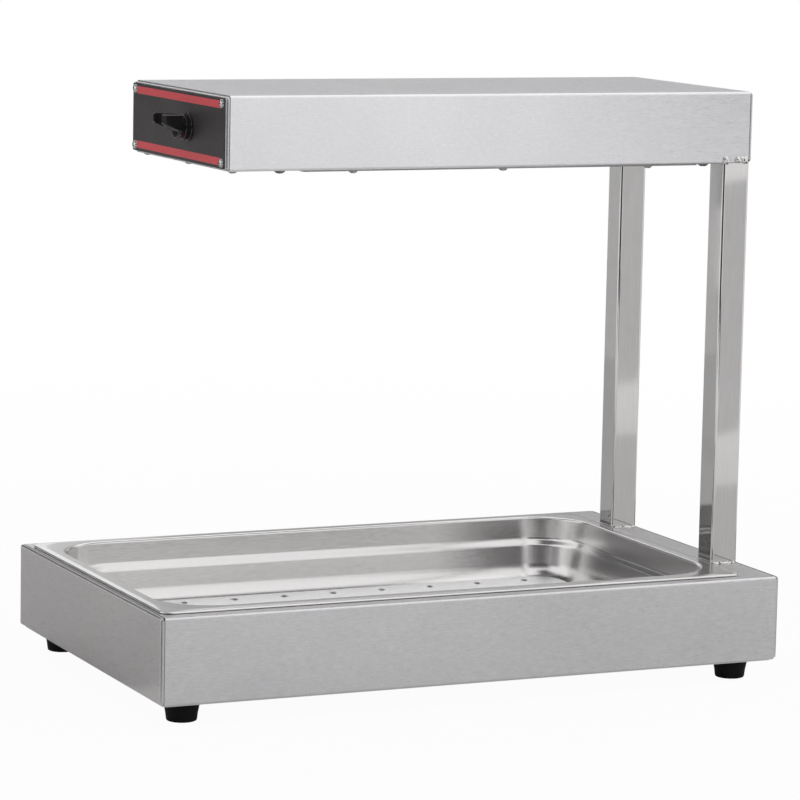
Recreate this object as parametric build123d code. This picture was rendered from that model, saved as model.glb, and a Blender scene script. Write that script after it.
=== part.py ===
from build123d import *

import os
from collections import namedtuple
from math import radians, tan

# Counter-top fry warmer: a folded steel base with a lift-out pan, two square posts and a heated hood.
# Millimetres. +X is right seen from the knob end, +Y runs from the knob to the posts, +Z is up.
# The origin is on the counter, under the middle of the base.

# Base
BASE_WIDTH = 350.0
BASE_LENGTH = 566.0
BASE_SIDE = 72.5
SHEET = 1.0
BEND = 2.2
PANEL_RETURN = 15.0
BASE_FLANGE = 32.0
SEAM = 0.3
END_SEAM = 1.2
FOOT_HEIGHT = 17.5
FOOT_TOP_RADIUS = 15.5
FOOT_END_RADIUS = 12.5
FOOT_INSET = 29.5
FOOT_NOTCH = 8.0

# Pan and drain plate, a full-size gastronorm pan of the nominal depth 65
PAN_LENGTH = 530.0
PAN_WIDTH = 325.0
PAN_DEPTH = 63.6
PAN_SHEET = 0.8
PAN_RIM = 2.6
PAN_RIM_BEND = 2.2
PAN_RIM_CORNER = 9.0
PAN_FLANGE = 13.0
PAN_SEAT = 10.25
PAN_CORNER = 50.0
PAN_STEP_DEPTH = 22.0
PAN_STEP = 5.0
PAN_STEP_DROP = 3.0
PAN_DRAFT = 4.0
PAN_FLOOR_RADIUS = 16.0
PAN_LIP = 1.5
PAN_FRONT_MARGIN = 6.0
DRAIN_DROP = 50.6
DRAIN_PITCH = 47.5
DRAIN_ROW_PITCH = 52.0
DRAIN_HOLE = 2.7
DRAIN_COLUMNS = 9
DRAIN_ROWS = 5

# Posts
POST = 25.0
POST_WALL = 1.5
POST_CORNER = 2.0
POST_REAR = 279.0
POST_FIT = 0.2

# Hood
HOOD_WIDTH = 215.0
HOOD_HEIGHT = 61.5
HOOD_UNDERSIDE = 440.5
HOOD_FRONT = -207.0
HOOD_REAR = 281.0
HOOD_FLANGE = 16.0
FASCIA_SHEET = 1.0
FASCIA_MARGIN = 2.5
FASCIA_SCREW_INSET = 5.5
FASCIA_SCREW_RISE = 24.0

# Knob and switch
KNOB_X = 26.0
KNOB_SKIRT = (11.6, 1.5)
KNOB_HUB = (10.5, 6.0)
KNOB_NECK = (9.2, 11.5)
KNOB_GAP = 0.4
GRIP_LENGTH = 24.4
GRIP_START = 9.0
GRIP_REACH = 26.8
GRIP_FOOT = (-4.2, 10.8)
GRIP_TIP = (3.5, 11.0)
GRIP_DIP = 8.0
SHAFT_RADIUS = 3.0
SHAFT_REACH = 9.5
SHAFT_FIT = 0.05
SWITCH_SIZE = (32.0, 22.0, 32.0)

# Heater compartment
FRONT_BULKHEAD = -148.0
REAR_BULKHEAD = 231.0
BULKHEAD_FOOT = 14.0
GUARD_SHEET = 1.2
GUARD_MIDDLE = 47.0
GUARD_LENGTH = 366.0
GUARD_PITCH = 137.0
GUARD_BAR = 1.25
GUARD_BAR_PITCH = 15.0
ELEMENT_RADIUS = 4.0
ELEMENT_X = 47.0
ELEMENT_REAR = 214.0
REFLECTOR_SHEET = 0.8
WIRE_RADIUS = 1.3
WIRE_BEND = 4.0
GLAND_DROP = 8.0
GLAND_BORE = 4.0

# Threads: radius of the head, the shank and its hole, then the nut's width across flats and its height
Thread = namedtuple("Thread", "head shank hole flats nut_height")
M4 = Thread(3.8, 1.9, 2.2, 7.0, 3.2)
M5 = Thread(4.7, 2.5, 2.7, 8.0, 4.0)
SWITCH_NECK = Thread(None, 5.0, 5.2, 14.0, 2.5)
BUSHING_NECK = Thread(None, 6.5, 6.8, 17.0, 5.0)
GLAND_NECK = Thread(11.0, 7.7, 8.0, 21.0, 4.0)
THREAD_GAP = 0.05

# Worked out from the sizes above
BASE_BOTTOM = FOOT_HEIGHT + SHEET
DECK = BASE_BOTTOM + BASE_SIDE
HALF_WIDTH = BASE_WIDTH / 2
HALF_LENGTH = BASE_LENGTH / 2
PAN_TOP = DECK + PAN_RIM
PAN_Y = -HALF_LENGTH + PAN_FRONT_MARGIN + PAN_LENGTH / 2
PAN_FLOOR = PAN_TOP - PAN_DEPTH + PAN_SHEET
POST_FRONT = POST_REAR - POST
HOOD_HALF = HOOD_WIDTH / 2
HOOD_INSIDE = HOOD_HALF - SHEET
POST_OUTER = HOOD_INSIDE - POST_FIT
POST_INNER = POST_OUTER - POST
HOOD_TOP = HOOD_UNDERSIDE + HOOD_HEIGHT
HOOD_MIDDLE = HOOD_UNDERSIDE + HOOD_HEIGHT / 2
HOOD_FLOOR = HOOD_UNDERSIDE + SHEET
HOOD_CEILING = HOOD_TOP - SHEET
CAP_FRONT = HOOD_FRONT + FASCIA_SHEET
CAP_INSIDE = CAP_FRONT + SHEET
POST_TOP = HOOD_CEILING - 3.5
REFLECTOR_TOP = HOOD_CEILING - 11.0
WIRE_Z = HOOD_CEILING - 8.0
ELEMENT_Z = HOOD_UNDERSIDE + 28.0
BUSHING_FRONT = FRONT_BULKHEAD - 13.0
PIN_END = BUSHING_FRONT - 12.0
TAB_END = CAP_INSIDE + SWITCH_SIZE[1] + 8.0
LIVE_X = KNOB_X - 9.0
SWITCHED_X = KNOB_X + 9.0
BLOCK_TOP = HOOD_MIDDLE + 8.0
BLOCK_Y = REAR_BULKHEAD + 8.0
EARTH_X = -45.0
M4_TAPPED = M4.shank + THREAD_GAP
SIDES = (-1, 1)
UP = (0, 0, 1)
FORWARD = (0, -1, 0)
REARWARD = (0, 1, 0)

parts = {}


# Shared shapes

def block(x_span, y_span, z_span):
    """Box between three (low, high) pairs."""
    spans = (x_span, y_span, z_span)
    size = [high - low for low, high in spans]
    middle = [(high + low) / 2 for low, high in spans]
    return Pos(*middle) * Box(*size)


def rod(radius, start, direction, length):
    """Cylinder from a point along a direction."""
    place = Plane(origin=start, z_dir=direction)
    return place * Cylinder(radius, length, align=(Align.CENTER, Align.CENTER, Align.MIN))


def hexagon(across_flats, start, direction, length):
    """Hexagonal prism from a point along a direction."""
    outline = RegularPolygon(across_flats / 2, 6, major_radius=False)
    return Plane(origin=start, z_dir=direction) * extrude(outline, length)


def folded(points, plane, depth, sheet=SHEET, bend=BEND):
    """Sheet of one thickness folded along a centre line and run on along the plane's normal."""
    line = FilletPolyline(*points, radius=bend - sheet / 2)
    return plane * extrude(trace(line, sheet), depth)


def tray(width, depth, height):
    """Shallow pressed panel: its face is at y = 0 and its four returns run to +Y."""
    outer = block((-width / 2, width / 2), (0, depth), (0, height))
    outer = fillet(outer.faces().sort_by(Axis.Y)[0].edges() + outer.edges().filter_by(Axis.Y), BEND)
    half = width / 2 - SHEET
    inner = block((-half, half), (SHEET, depth + SHEET), (SHEET, height - SHEET))
    inner = fillet(inner.faces().sort_by(Axis.Y)[0].edges() + inner.edges().filter_by(Axis.Y), BEND - SHEET)
    return outer - inner


def pan_screw(point, direction, thread, length):
    """Pan-head screw with a cross recess; the point is under the head, the direction is the shank's."""
    head_height = thread.head * 0.6
    place = Plane(origin=point, z_dir=direction)
    head = Pos(0, 0, -head_height / 2) * Cylinder(thread.head, head_height)
    head = fillet(head.edges().group_by(Axis.Z)[0], head_height * 0.6)
    slot = thread.head * 0.28
    for turn in (0, 90):
        cut = Box(thread.head * 1.2, slot, head_height)
        head -= Pos(0, 0, -head_height) * Rot(0, 0, turn) * cut
    shank = Pos(0, 0, length / 2) * Cylinder(thread.shank, length)
    return place * (head + shank)


def nut(point, direction, thread):
    """Hexagonal nut that starts at a point and runs along a direction."""
    bore = rod(thread.shank + THREAD_GAP, point, direction, thread.nut_height)
    return hexagon(thread.flats, point, direction, thread.nut_height) - bore


def drill(solid, points, direction, radius, depth):
    """Cut one round hole through the solid at each point."""
    for point in points:
        solid -= rod(radius, point, direction, depth)
    return solid


def keep(name, *solids):
    """Store one node; several solids make a group."""
    parts[name] = solids[0] if len(solids) == 1 else Compound(children=list(solids))


def post_slots(z_span):
    """Two square clearance cuts for the posts."""
    y_span = (POST_FRONT - POST_FIT, POST_REAR + POST_FIT)
    cuts = []
    for side in SIDES:
        x_span = sorted((side * (POST_INNER - POST_FIT), side * (POST_OUTER + POST_FIT)))
        cuts.append(block(x_span, y_span, z_span))
    return cuts


# Places of the fasteners

def grid(columns, rows):
    """Every pair of a place across and a place along."""
    return [(x, y) for x in columns for y in rows]


def both(distance):
    """The same distance to the left and to the right."""
    return (-distance, distance)


FOOT_NAMES = ("foot_front_left", "foot_rear_left", "foot_front_right", "foot_rear_right")
FOOT_POINTS = grid(both(HALF_WIDTH - FOOT_INSET), both(HALF_LENGTH - FOOT_INSET))
PLATE_POINTS = grid(both(HALF_WIDTH - 23.0), (-190.0, 0.0, 190.0))
GUARD_ROWS = [GUARD_MIDDLE + row * GUARD_PITCH for row in (-1, 0, 1)]
GUARD_POINTS = grid(both(HOOD_HALF - 8.5), GUARD_ROWS)
BULKHEAD_ROWS = (FRONT_BULKHEAD - BULKHEAD_FOOT / 2, REAR_BULKHEAD + BULKHEAD_FOOT / 2)
BULKHEAD_POINTS = grid(both(HOOD_HALF - 9.5), BULKHEAD_ROWS)
FRONT_CAP_ROW = HOOD_FRONT + 11.0
FRONT_CAP_SIDES = grid(both(HOOD_HALF - 10.5), (FRONT_CAP_ROW,))
FRONT_CAP_POINTS = FRONT_CAP_SIDES + [(0.0, FRONT_CAP_ROW)]
COVER_POINTS = grid(both(45.0), BULKHEAD_ROWS + (HOOD_REAR - 9.0,))
FASCIA_POINTS = grid(
    both(HOOD_HALF - FASCIA_MARGIN - FASCIA_SCREW_INSET),
    (HOOD_MIDDLE - FASCIA_SCREW_RISE, HOOD_MIDDLE + FASCIA_SCREW_RISE),
)


# Base

def base_shell():
    """Deck and long sides in one sheet, with inward flanges below, a pan opening and two post holes."""
    side = HALF_WIDTH - SHEET / 2
    low = BASE_BOTTOM + SHEET / 2
    high = DECK - SHEET / 2
    tip = HALF_WIDTH - BASE_FLANGE
    points = [(-tip, low), (-side, low), (-side, high), (side, high), (side, low), (tip, low)]
    end = HALF_LENGTH - BEND - END_SEAM
    shell = folded(points, Plane.XZ.offset(-end), 2 * end)
    seat = 2 * PAN_SEAT
    opening = RectangleRounded(PAN_WIDTH - seat, PAN_LENGTH - seat, PAN_CORNER + PAN_FLANGE - PAN_SEAT)
    shell -= Pos(0, PAN_Y, DECK - 2 * SHEET) * extrude(opening, 3 * SHEET)
    for cut in post_slots((DECK - 2 * SHEET, DECK + SHEET)):
        shell -= cut
    below = BASE_BOTTOM - SHEET
    shell = drill(shell, [(x, y, below) for x, y in FOOT_POINTS], UP, FOOT_NOTCH, 3 * SHEET)
    return drill(shell, [(x, y, below) for x, y in PLATE_POINTS], UP, M4_TAPPED, 3 * SHEET)


def base_end_panel():
    """One end panel of the base, with its face to -Y and its upper bend level with the deck."""
    height = BASE_SIDE - SHEET
    panel = tray(BASE_WIDTH - 2 * SHEET, PANEL_RETURN, height)
    under_deck = (height - 2 * SHEET, height + SHEET)
    return panel - block((-HALF_WIDTH, HALF_WIDTH), (BEND, PANEL_RETURN + SHEET), under_deck)


def make_base():
    keep("base_shell", base_shell())
    lift = BASE_BOTTOM + SHEET
    keep("base_front_panel", Pos(0, -HALF_LENGTH, lift) * base_end_panel())
    keep("base_rear_panel", Pos(0, HALF_LENGTH, lift) * Rot(0, 0, 180) * base_end_panel())

    gap = 4.0
    outline = RectangleRounded(BASE_WIDTH - 2 * gap, BASE_LENGTH - 2 * gap, 3.0)
    plate = Pos(0, 0, FOOT_HEIGHT) * extrude(outline, SHEET)
    below = FOOT_HEIGHT - SHEET
    plate = drill(plate, [(x, y, below) for x, y in PLATE_POINTS], UP, M4.hole, 3 * SHEET)
    plate = drill(plate, [(x, y, below) for x, y in FOOT_POINTS], UP, M5.hole, 3 * SHEET)
    keep("base_bottom_plate", plate)
    keep("bottom_plate_screws", *[pan_screw((x, y, FOOT_HEIGHT), UP, M4, 9.0) for x, y in PLATE_POINTS])


def make_feet():
    """Rubber feet with a recess for the screw head, then the screws, washers and nuts."""
    recess_depth = FOOT_HEIGHT - 7.0
    recess_radius = 6.0
    for name, (x, y) in zip(FOOT_NAMES, FOOT_POINTS):
        foot = Pos(x, y, FOOT_HEIGHT / 2) * Cone(FOOT_END_RADIUS, FOOT_TOP_RADIUS, FOOT_HEIGHT)
        foot = fillet(foot.edges().group_by(Axis.Z)[0], 1.5)
        foot -= rod(recess_radius, (x, y, 0), UP, recess_depth)
        foot -= rod(M5.hole, (x, y, 0), UP, FOOT_HEIGHT)
        keep(name, foot)
    keep("foot_screws", *[pan_screw((x, y, recess_depth), UP, M5, 15.0) for x, y in FOOT_POINTS])
    seats = [(x, y, BASE_BOTTOM) for x, y in FOOT_POINTS]
    keep("foot_washers", *[rod(5.0, seat, UP, SHEET) - rod(M5.hole, seat, UP, SHEET) for seat in seats])
    keep("foot_nuts", *[nut((x, y, BASE_BOTTOM + SHEET), UP, M5) for x, y in FOOT_POINTS])


# Pan and drain plate

def pan_stages(grow):
    """Heights, half sizes and corner radii down the pan's wall, grown outwards by a wall thickness."""
    half_x = PAN_WIDTH / 2 - PAN_FLANGE + grow
    half_y = PAN_LENGTH / 2 - PAN_FLANGE + grow
    slope = tan(radians(PAN_DRAFT))
    drop = PAN_STEP_DEPTH * slope
    floor = PAN_FLOOR - grow
    step_start = PAN_TOP - PAN_STEP_DEPTH - grow / 2
    step_end = step_start - PAN_STEP_DROP
    insets = (-PAN_LIP, 0.0, drop, drop + PAN_STEP, drop + PAN_STEP + (step_end - floor) * slope)
    heights = (PAN_TOP, PAN_TOP - PAN_LIP, step_start, step_end, floor)
    return [(z, half_x - i, half_y - i, PAN_CORNER + grow - i) for z, i in zip(heights, insets)]


def pan_body(grow):
    """Solid of the pan's inside, or of its outside when grown by the sheet."""
    faces = [
        Pos(0, PAN_Y, z) * RectangleRounded(2 * half_x, 2 * half_y, corner)
        for z, half_x, half_y, corner in pan_stages(grow)
    ]
    body = loft(faces, ruled=True)
    return fillet(body.edges().group_by(Axis.Z)[0], PAN_FLOOR_RADIUS + grow)


def make_pan():
    """Pan with a flat flange, a turned-down rim that sits on the deck and a stacking step."""
    rim = Pos(0, PAN_Y, DECK) * extrude(RectangleRounded(PAN_WIDTH, PAN_LENGTH, PAN_RIM_CORNER), PAN_RIM)
    rim = fillet(rim.edges().group_by(Axis.Z)[-1], PAN_RIM_BEND)
    wall = 2 * PAN_SHEET
    hollow = RectangleRounded(PAN_WIDTH - wall, PAN_LENGTH - wall, PAN_RIM_CORNER - PAN_SHEET)
    hollow_block = Pos(0, PAN_Y, DECK) * extrude(hollow, PAN_RIM - PAN_SHEET)
    hollow_block = fillet(hollow_block.edges().group_by(Axis.Z)[-1], PAN_RIM_BEND - PAN_SHEET)
    pan = rim - hollow_block + pan_body(PAN_SHEET)
    pan -= pan_body(0.0)
    keep("gn_pan", pan)


def make_drain_plate():
    """Upturned shallow tray with round holes, standing on the flat of the pan's floor."""
    _, half_x, half_y, corner = pan_stages(0.0)[-1]
    inset = PAN_FLOOR_RADIUS + 1.0
    width = 2 * (half_x - inset)
    length = 2 * (half_y - inset)
    radius = corner - inset
    top = PAN_TOP - DRAIN_DROP
    plate = Pos(0, PAN_Y, PAN_FLOOR) * extrude(RectangleRounded(width, length, radius), top - PAN_FLOOR)
    plate = fillet(plate.edges().group_by(Axis.Z)[-1], BEND)
    inner = RectangleRounded(width - 2 * SHEET, length - 2 * SHEET, radius - SHEET)
    cavity = Pos(0, PAN_Y, PAN_FLOOR) * extrude(inner, top - SHEET - PAN_FLOOR)
    plate -= fillet(cavity.edges().group_by(Axis.Z)[-1], BEND - SHEET)
    places = GridLocations(DRAIN_ROW_PITCH, DRAIN_PITCH, DRAIN_ROWS, DRAIN_COLUMNS)
    holes = Sketch() + [place * Circle(DRAIN_HOLE) for place in places]
    plate -= Pos(0, PAN_Y, top - 2 * SHEET) * extrude(holes, 3 * SHEET)
    keep("drain_plate", plate)


# Posts and welds

def make_posts():
    """Square tubes from the rear panel's lower return, through the deck, up inside the hood."""
    low = BASE_BOTTOM + 2 * SHEET
    middle_y = (POST_FRONT + POST_REAR) / 2
    inside = POST - 2 * POST_WALL
    section = RectangleRounded(POST, POST, POST_CORNER)
    section -= RectangleRounded(inside, inside, POST_CORNER - POST_WALL)
    for name, side in zip(("post_left", "post_right"), SIDES):
        middle_x = side * (POST_OUTER + POST_INNER) / 2
        keep(name, Pos(middle_x, middle_y, low) * extrude(section, POST_TOP - low))


def make_welds():
    """Beads along the posts' sides at the deck, and plug welds at the hood's lower edge."""
    bead = 1.8
    y_span = (POST_FRONT + 2.5, POST_REAR - 2.5)
    beads = []
    for side in SIDES:
        for face, away in ((POST_OUTER, side), (POST_INNER, -side)):
            x = side * face
            run = rod(bead, (x, y_span[0], DECK), (0, 1, 0), y_span[1] - y_span[0])
            quarter = block(sorted((x, x + away * bead)), y_span, (DECK, DECK + bead))
            beads.append(run & quarter)
    keep("post_weld_beads", *beads)

    spot = 2.2
    proud = 0.9
    ball = (spot ** 2 + proud ** 2) / (2 * proud)
    dome = split(Pos(0, 0, proud - ball) * Sphere(ball), bisect_by=Plane.XY, keep=Keep.TOP)
    spots = []
    for side in SIDES:
        for along in (4.5, 14.0, 21.0):
            point = (side * HOOD_HALF, POST_FRONT + along, HOOD_UNDERSIDE + BEND + 1.0)
            spots.append(Plane(origin=point, z_dir=(side, 0, 0)) * dome)
    keep("plug_welds", *spots)


# Hood casing

def hood_shell():
    """Top and long sides in one sheet, with inward flanges below that are notched round the posts."""
    side = HOOD_HALF - SHEET / 2
    low = HOOD_UNDERSIDE + SHEET / 2
    high = HOOD_TOP - SHEET / 2
    tip = HOOD_HALF - SHEET - HOOD_FLANGE
    points = [(-tip, low), (-side, low), (-side, high), (side, high), (side, low), (tip, low)]
    front = CAP_FRONT + BEND + END_SEAM
    rear = HOOD_REAR - BEND - END_SEAM
    shell = folded(points, Plane.XZ.offset(-rear), rear - front)
    for cut in post_slots((HOOD_UNDERSIDE - SHEET, HOOD_FLOOR + SHEET)):
        shell -= cut
    below = HOOD_UNDERSIDE - SHEET
    shell = drill(shell, [(x, y, below) for x, y in GUARD_POINTS + FRONT_CAP_SIDES], UP, M4.hole, 3 * SHEET)
    return drill(shell, [(x, y, below) for x, y in BULKHEAD_POINTS], UP, M5.hole, 3 * SHEET)


def hood_cap(side_depth):
    """One end cap of the hood, with its face to -Y and side returns of a given depth."""
    width = 2 * HOOD_INSIDE
    height = HOOD_HEIGHT - 2 * SHEET
    cap = tray(width, PANEL_RETURN, height)
    for side in SIDES:
        edge = sorted((side * (HOOD_INSIDE - 2 * SHEET), side * (HOOD_INSIDE + SHEET)))
        cap -= block(edge, (side_depth, PANEL_RETURN + SHEET), (-SHEET, height + SHEET))
    return cap


def make_hood_casing():
    keep("hood_shell", hood_shell())

    through = 3 * SHEET
    front = Pos(0, CAP_FRONT, HOOD_FLOOR) * hood_cap(PANEL_RETURN)
    front -= rod(SWITCH_NECK.hole, (KNOB_X, CAP_FRONT - SHEET, HOOD_MIDDLE), REARWARD, through)
    front = drill(front, [(x, CAP_FRONT - SHEET, z) for x, z in FASCIA_POINTS], REARWARD, M4_TAPPED, through)
    front = drill(front, [(x, y, HOOD_FLOOR - SHEET) for x, y in FRONT_CAP_POINTS], UP, M4_TAPPED, through)
    keep("hood_front_cap", front)

    rear = Pos(0, HOOD_REAR, HOOD_FLOOR) * Rot(0, 0, 180) * hood_cap(BEND)
    rear -= rod(GLAND_NECK.hole, (0, HOOD_REAR - 2 * SHEET, HOOD_MIDDLE - GLAND_DROP), REARWARD, through)
    for cut in post_slots((HOOD_UNDERSIDE, HOOD_FLOOR + 2 * SHEET)):
        rear -= cut
    holes = [(x, y, HOOD_FLOOR - SHEET) for x, y in COVER_POINTS]
    keep("hood_rear_cap", drill(rear, holes, UP, M4_TAPPED, through))

    keep("front_cap_screws", *[pan_screw((x, y, HOOD_UNDERSIDE), UP, M4, 8.0) for x, y in FRONT_CAP_POINTS])


def make_fascia():
    width = HOOD_WIDTH - 2 * FASCIA_MARGIN
    height = HOOD_HEIGHT - 2 * (FASCIA_MARGIN - SHEET / 2)
    outline = Plane.XZ.offset(-CAP_FRONT) * RectangleRounded(width, height, 1.5)
    fascia = Pos(0, 0, HOOD_MIDDLE) * extrude(outline, FASCIA_SHEET)
    fascia -= rod(SWITCH_NECK.hole, (KNOB_X, HOOD_FRONT - SHEET, HOOD_MIDDLE), REARWARD, 3 * SHEET)
    holes = [(x, HOOD_FRONT - SHEET, z) for x, z in FASCIA_POINTS]
    keep("control_fascia", drill(fascia, holes, REARWARD, M4.hole, 3 * SHEET))
    keep("fascia_screws", *[pan_screw((x, HOOD_FRONT, z), REARWARD, M4, 8.0) for x, z in FASCIA_POINTS])


def make_covers():
    """Plates that close the control space and the rear wiring space from below, between the flanges."""
    half = HOOD_INSIDE - HOOD_FLANGE - 0.5
    z_span = (HOOD_UNDERSIDE, HOOD_FLOOR)
    control = block((-half, half), (CAP_FRONT + BEND + END_SEAM, FRONT_BULKHEAD - SEAM), z_span)
    rear = block((-half, half), (REAR_BULKHEAD + SEAM, HOOD_REAR - BEND - END_SEAM), z_span)
    for cut in post_slots((HOOD_UNDERSIDE - SHEET, HOOD_FLOOR + SHEET)):
        rear -= cut
    holes = [(x, y, HOOD_UNDERSIDE - SHEET) for x, y in COVER_POINTS + FRONT_CAP_POINTS]
    keep("control_cover", drill(control, holes, UP, M4.hole, 3 * SHEET))
    keep("rear_cover", drill(rear, holes, UP, M4.hole, 3 * SHEET))
    keep("cover_screws", *[pan_screw((x, y, HOOD_UNDERSIDE), UP, M4, 7.0) for x, y in COVER_POINTS])


# Heater compartment

def bulkhead(name, y, foot_side, holes):
    """Partition with a foot along the hood's flanges and round holes at given x, z and radius."""
    low = HOOD_FLOOR + SHEET / 2
    high = HOOD_CEILING - 1.0
    half = HOOD_INSIDE - 1.5
    middle = y - foot_side * SHEET / 2
    points = [(y + foot_side * BULKHEAD_FOOT, low), (middle, low), (middle, high)]
    wall = folded(points, Plane.YZ.offset(-half), 2 * half, bend=1.6)
    for x, z, radius in holes:
        wall -= rod(radius, (x, middle - 2 * SHEET, z), REARWARD, 4 * SHEET)
    feet = [(px, py, HOOD_UNDERSIDE) for px, py in BULKHEAD_POINTS]
    wall = drill(wall, feet, UP, M5.hole, 4 * SHEET)
    covers = [(px, py, HOOD_UNDERSIDE) for px, py in COVER_POINTS]
    keep(name, drill(wall, covers, UP, M4_TAPPED, 4 * SHEET))


def make_bulkheads():
    """Front and rear partitions, their screws and nuts, and a rubber grommet for each wire hole."""
    grommet_hole = 3.3
    wires = [(x, WIRE_Z, grommet_hole) for x in (LIVE_X, -ELEMENT_X)]
    sheaths = [(side * ELEMENT_X, ELEMENT_Z, BUSHING_NECK.hole) for side in SIDES]
    bulkhead("front_bulkhead", FRONT_BULKHEAD, -1, wires + sheaths)
    bulkhead("rear_bulkhead", REAR_BULKHEAD, 1, wires)
    keep("bulkhead_screws", *[pan_screw((x, y, HOOD_UNDERSIDE), UP, M5, 9.0) for x, y in BULKHEAD_POINTS])
    keep("bulkhead_nuts", *[nut((x, y, HOOD_FLOOR + SHEET), UP, M5) for x, y in BULKHEAD_POINTS])

    lip = 1.0
    half = lip + SHEET / 2
    grommets = []
    for x, z, radius in wires:
        for wall in (FRONT_BULKHEAD + SHEET / 2, REAR_BULKHEAD - SHEET / 2):
            ring = rod(radius - 0.1, (x, wall - half, z), REARWARD, 2 * half)
            for away in (-half, SHEET / 2):
                ring += rod(radius + 1.4, (x, wall + away, z), REARWARD, lip)
            grommets.append(ring - rod(WIRE_RADIUS + 0.1, (x, wall - half, z), REARWARD, 2 * half))
    keep("wire_grommets", *grommets)


def make_reflector():
    """Bright trough over the element, with lips that lie on the hood's flanges."""
    low = HOOD_FLOOR + REFLECTOR_SHEET / 2
    high = REFLECTOR_TOP - REFLECTOR_SHEET / 2
    outer = HOOD_INSIDE - 3.0
    knee = HOOD_INSIDE - HOOD_FLANGE + 2.5
    crown = 62.0
    points = [(-outer, low), (-knee, low), (-crown, high), (crown, high), (knee, low), (outer, low)]
    gap = 2.0
    rear = REAR_BULKHEAD - SHEET - gap
    front = FRONT_BULKHEAD + SHEET + gap
    trough = folded(points, Plane.XZ.offset(-rear), rear - front, REFLECTOR_SHEET, 3.0)
    holes = [(x, y, HOOD_UNDERSIDE) for x, y in GUARD_POINTS]
    keep("reflector", drill(trough, holes, UP, M4.hole, 4 * SHEET))


def make_guard():
    """Frame below the flanges, with round bars welded across its opening, and its screws and nuts."""
    low = HOOD_UNDERSIDE - GUARD_SHEET
    half = HOOD_HALF - 3.5
    open_half = HOOD_INSIDE - HOOD_FLANGE - 4.0
    ends = 12.0
    frame = RectangleRounded(2 * half, GUARD_LENGTH, 3.0)
    frame -= RectangleRounded(2 * open_half, GUARD_LENGTH - 2 * ends, 4.0)
    frame = Pos(0, GUARD_MIDDLE, low) * extrude(frame, GUARD_SHEET)
    seats = [(x, y, low) for x, y in GUARD_POINTS]
    keep("guard_frame", drill(frame, seats, UP, M4.hole, GUARD_SHEET))

    count = int((GUARD_LENGTH - 2 * ends) // GUARD_BAR_PITCH)
    reach = open_half + 2.5
    first = GUARD_MIDDLE - GUARD_BAR_PITCH * (count - 1) / 2
    bars = []
    for index in range(count):
        start = (-reach, first + GUARD_BAR_PITCH * index, HOOD_UNDERSIDE + GUARD_BAR)
        bars.append(rod(GUARD_BAR, start, (1, 0, 0), 2 * reach))
    keep("guard_bars", *bars)

    keep("guard_screws", *[pan_screw(seat, UP, M4, 9.0) for seat in seats])
    keep("guard_nuts", *[nut((x, y, HOOD_FLOOR + REFLECTOR_SHEET), UP, M4) for x, y in GUARD_POINTS])


def make_element():
    """Hairpin sheathed element through the front bulkhead, with bushings, nuts, insulators and pins."""
    straight_end = ELEMENT_REAR - ELEMENT_X
    right = (ELEMENT_X, BUSHING_FRONT, ELEMENT_Z)
    path = Line(right, (ELEMENT_X, straight_end, ELEMENT_Z))
    path += RadiusArc((ELEMENT_X, straight_end, ELEMENT_Z), (-ELEMENT_X, straight_end, ELEMENT_Z), -ELEMENT_X)
    path += Line((-ELEMENT_X, straight_end, ELEMENT_Z), (-ELEMENT_X, BUSHING_FRONT, ELEMENT_Z))
    keep("heating_element", sweep(Plane(right, z_dir=(0, 1, 0)) * Circle(ELEMENT_RADIUS), path=path))

    bushings = []
    nuts = []
    insulators = []
    pins = []
    collar_height = 5.0
    insulator_height = 6.0
    pin_radius = 1.5
    for side in SIDES:
        x = side * ELEMENT_X
        inside = (x, FRONT_BULKHEAD + SHEET + collar_height, ELEMENT_Z)
        length = inside[1] - BUSHING_FRONT
        bushing = rod(BUSHING_NECK.shank, inside, FORWARD, length)
        bushing += hexagon(BUSHING_NECK.flats, inside, FORWARD, collar_height)
        bushings.append(bushing - rod(ELEMENT_RADIUS + THREAD_GAP, inside, FORWARD, length))
        nuts.append(nut((x, FRONT_BULKHEAD, ELEMENT_Z), FORWARD, BUSHING_NECK))
        end = (x, BUSHING_FRONT, ELEMENT_Z)
        bead = rod(ELEMENT_RADIUS, end, FORWARD, insulator_height)
        insulators.append(bead - rod(pin_radius + 0.1, end, FORWARD, insulator_height))
        pins.append(rod(pin_radius, end, FORWARD, BUSHING_FRONT - PIN_END))
    keep("element_bushings", *bushings)
    keep("element_nuts", *nuts)
    keep("element_insulators", *insulators)
    keep("element_pins", *pins)

    y = 120.0
    margin = 9.0
    high = REFLECTOR_TOP - REFLECTOR_SHEET - SHEET / 2
    points = [(y - 10.0, high), (y, high), (y, ELEMENT_Z - margin)]
    half = ELEMENT_X + margin
    strap = folded(points, Plane.YZ.offset(-half), 2 * half, bend=1.6)
    holes = [(side * ELEMENT_X, y - SHEET, ELEMENT_Z) for side in SIDES]
    keep("element_support", drill(strap, holes, REARWARD, ELEMENT_RADIUS + SEAM, 2 * SHEET))


# Knob, switch and wiring

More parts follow.
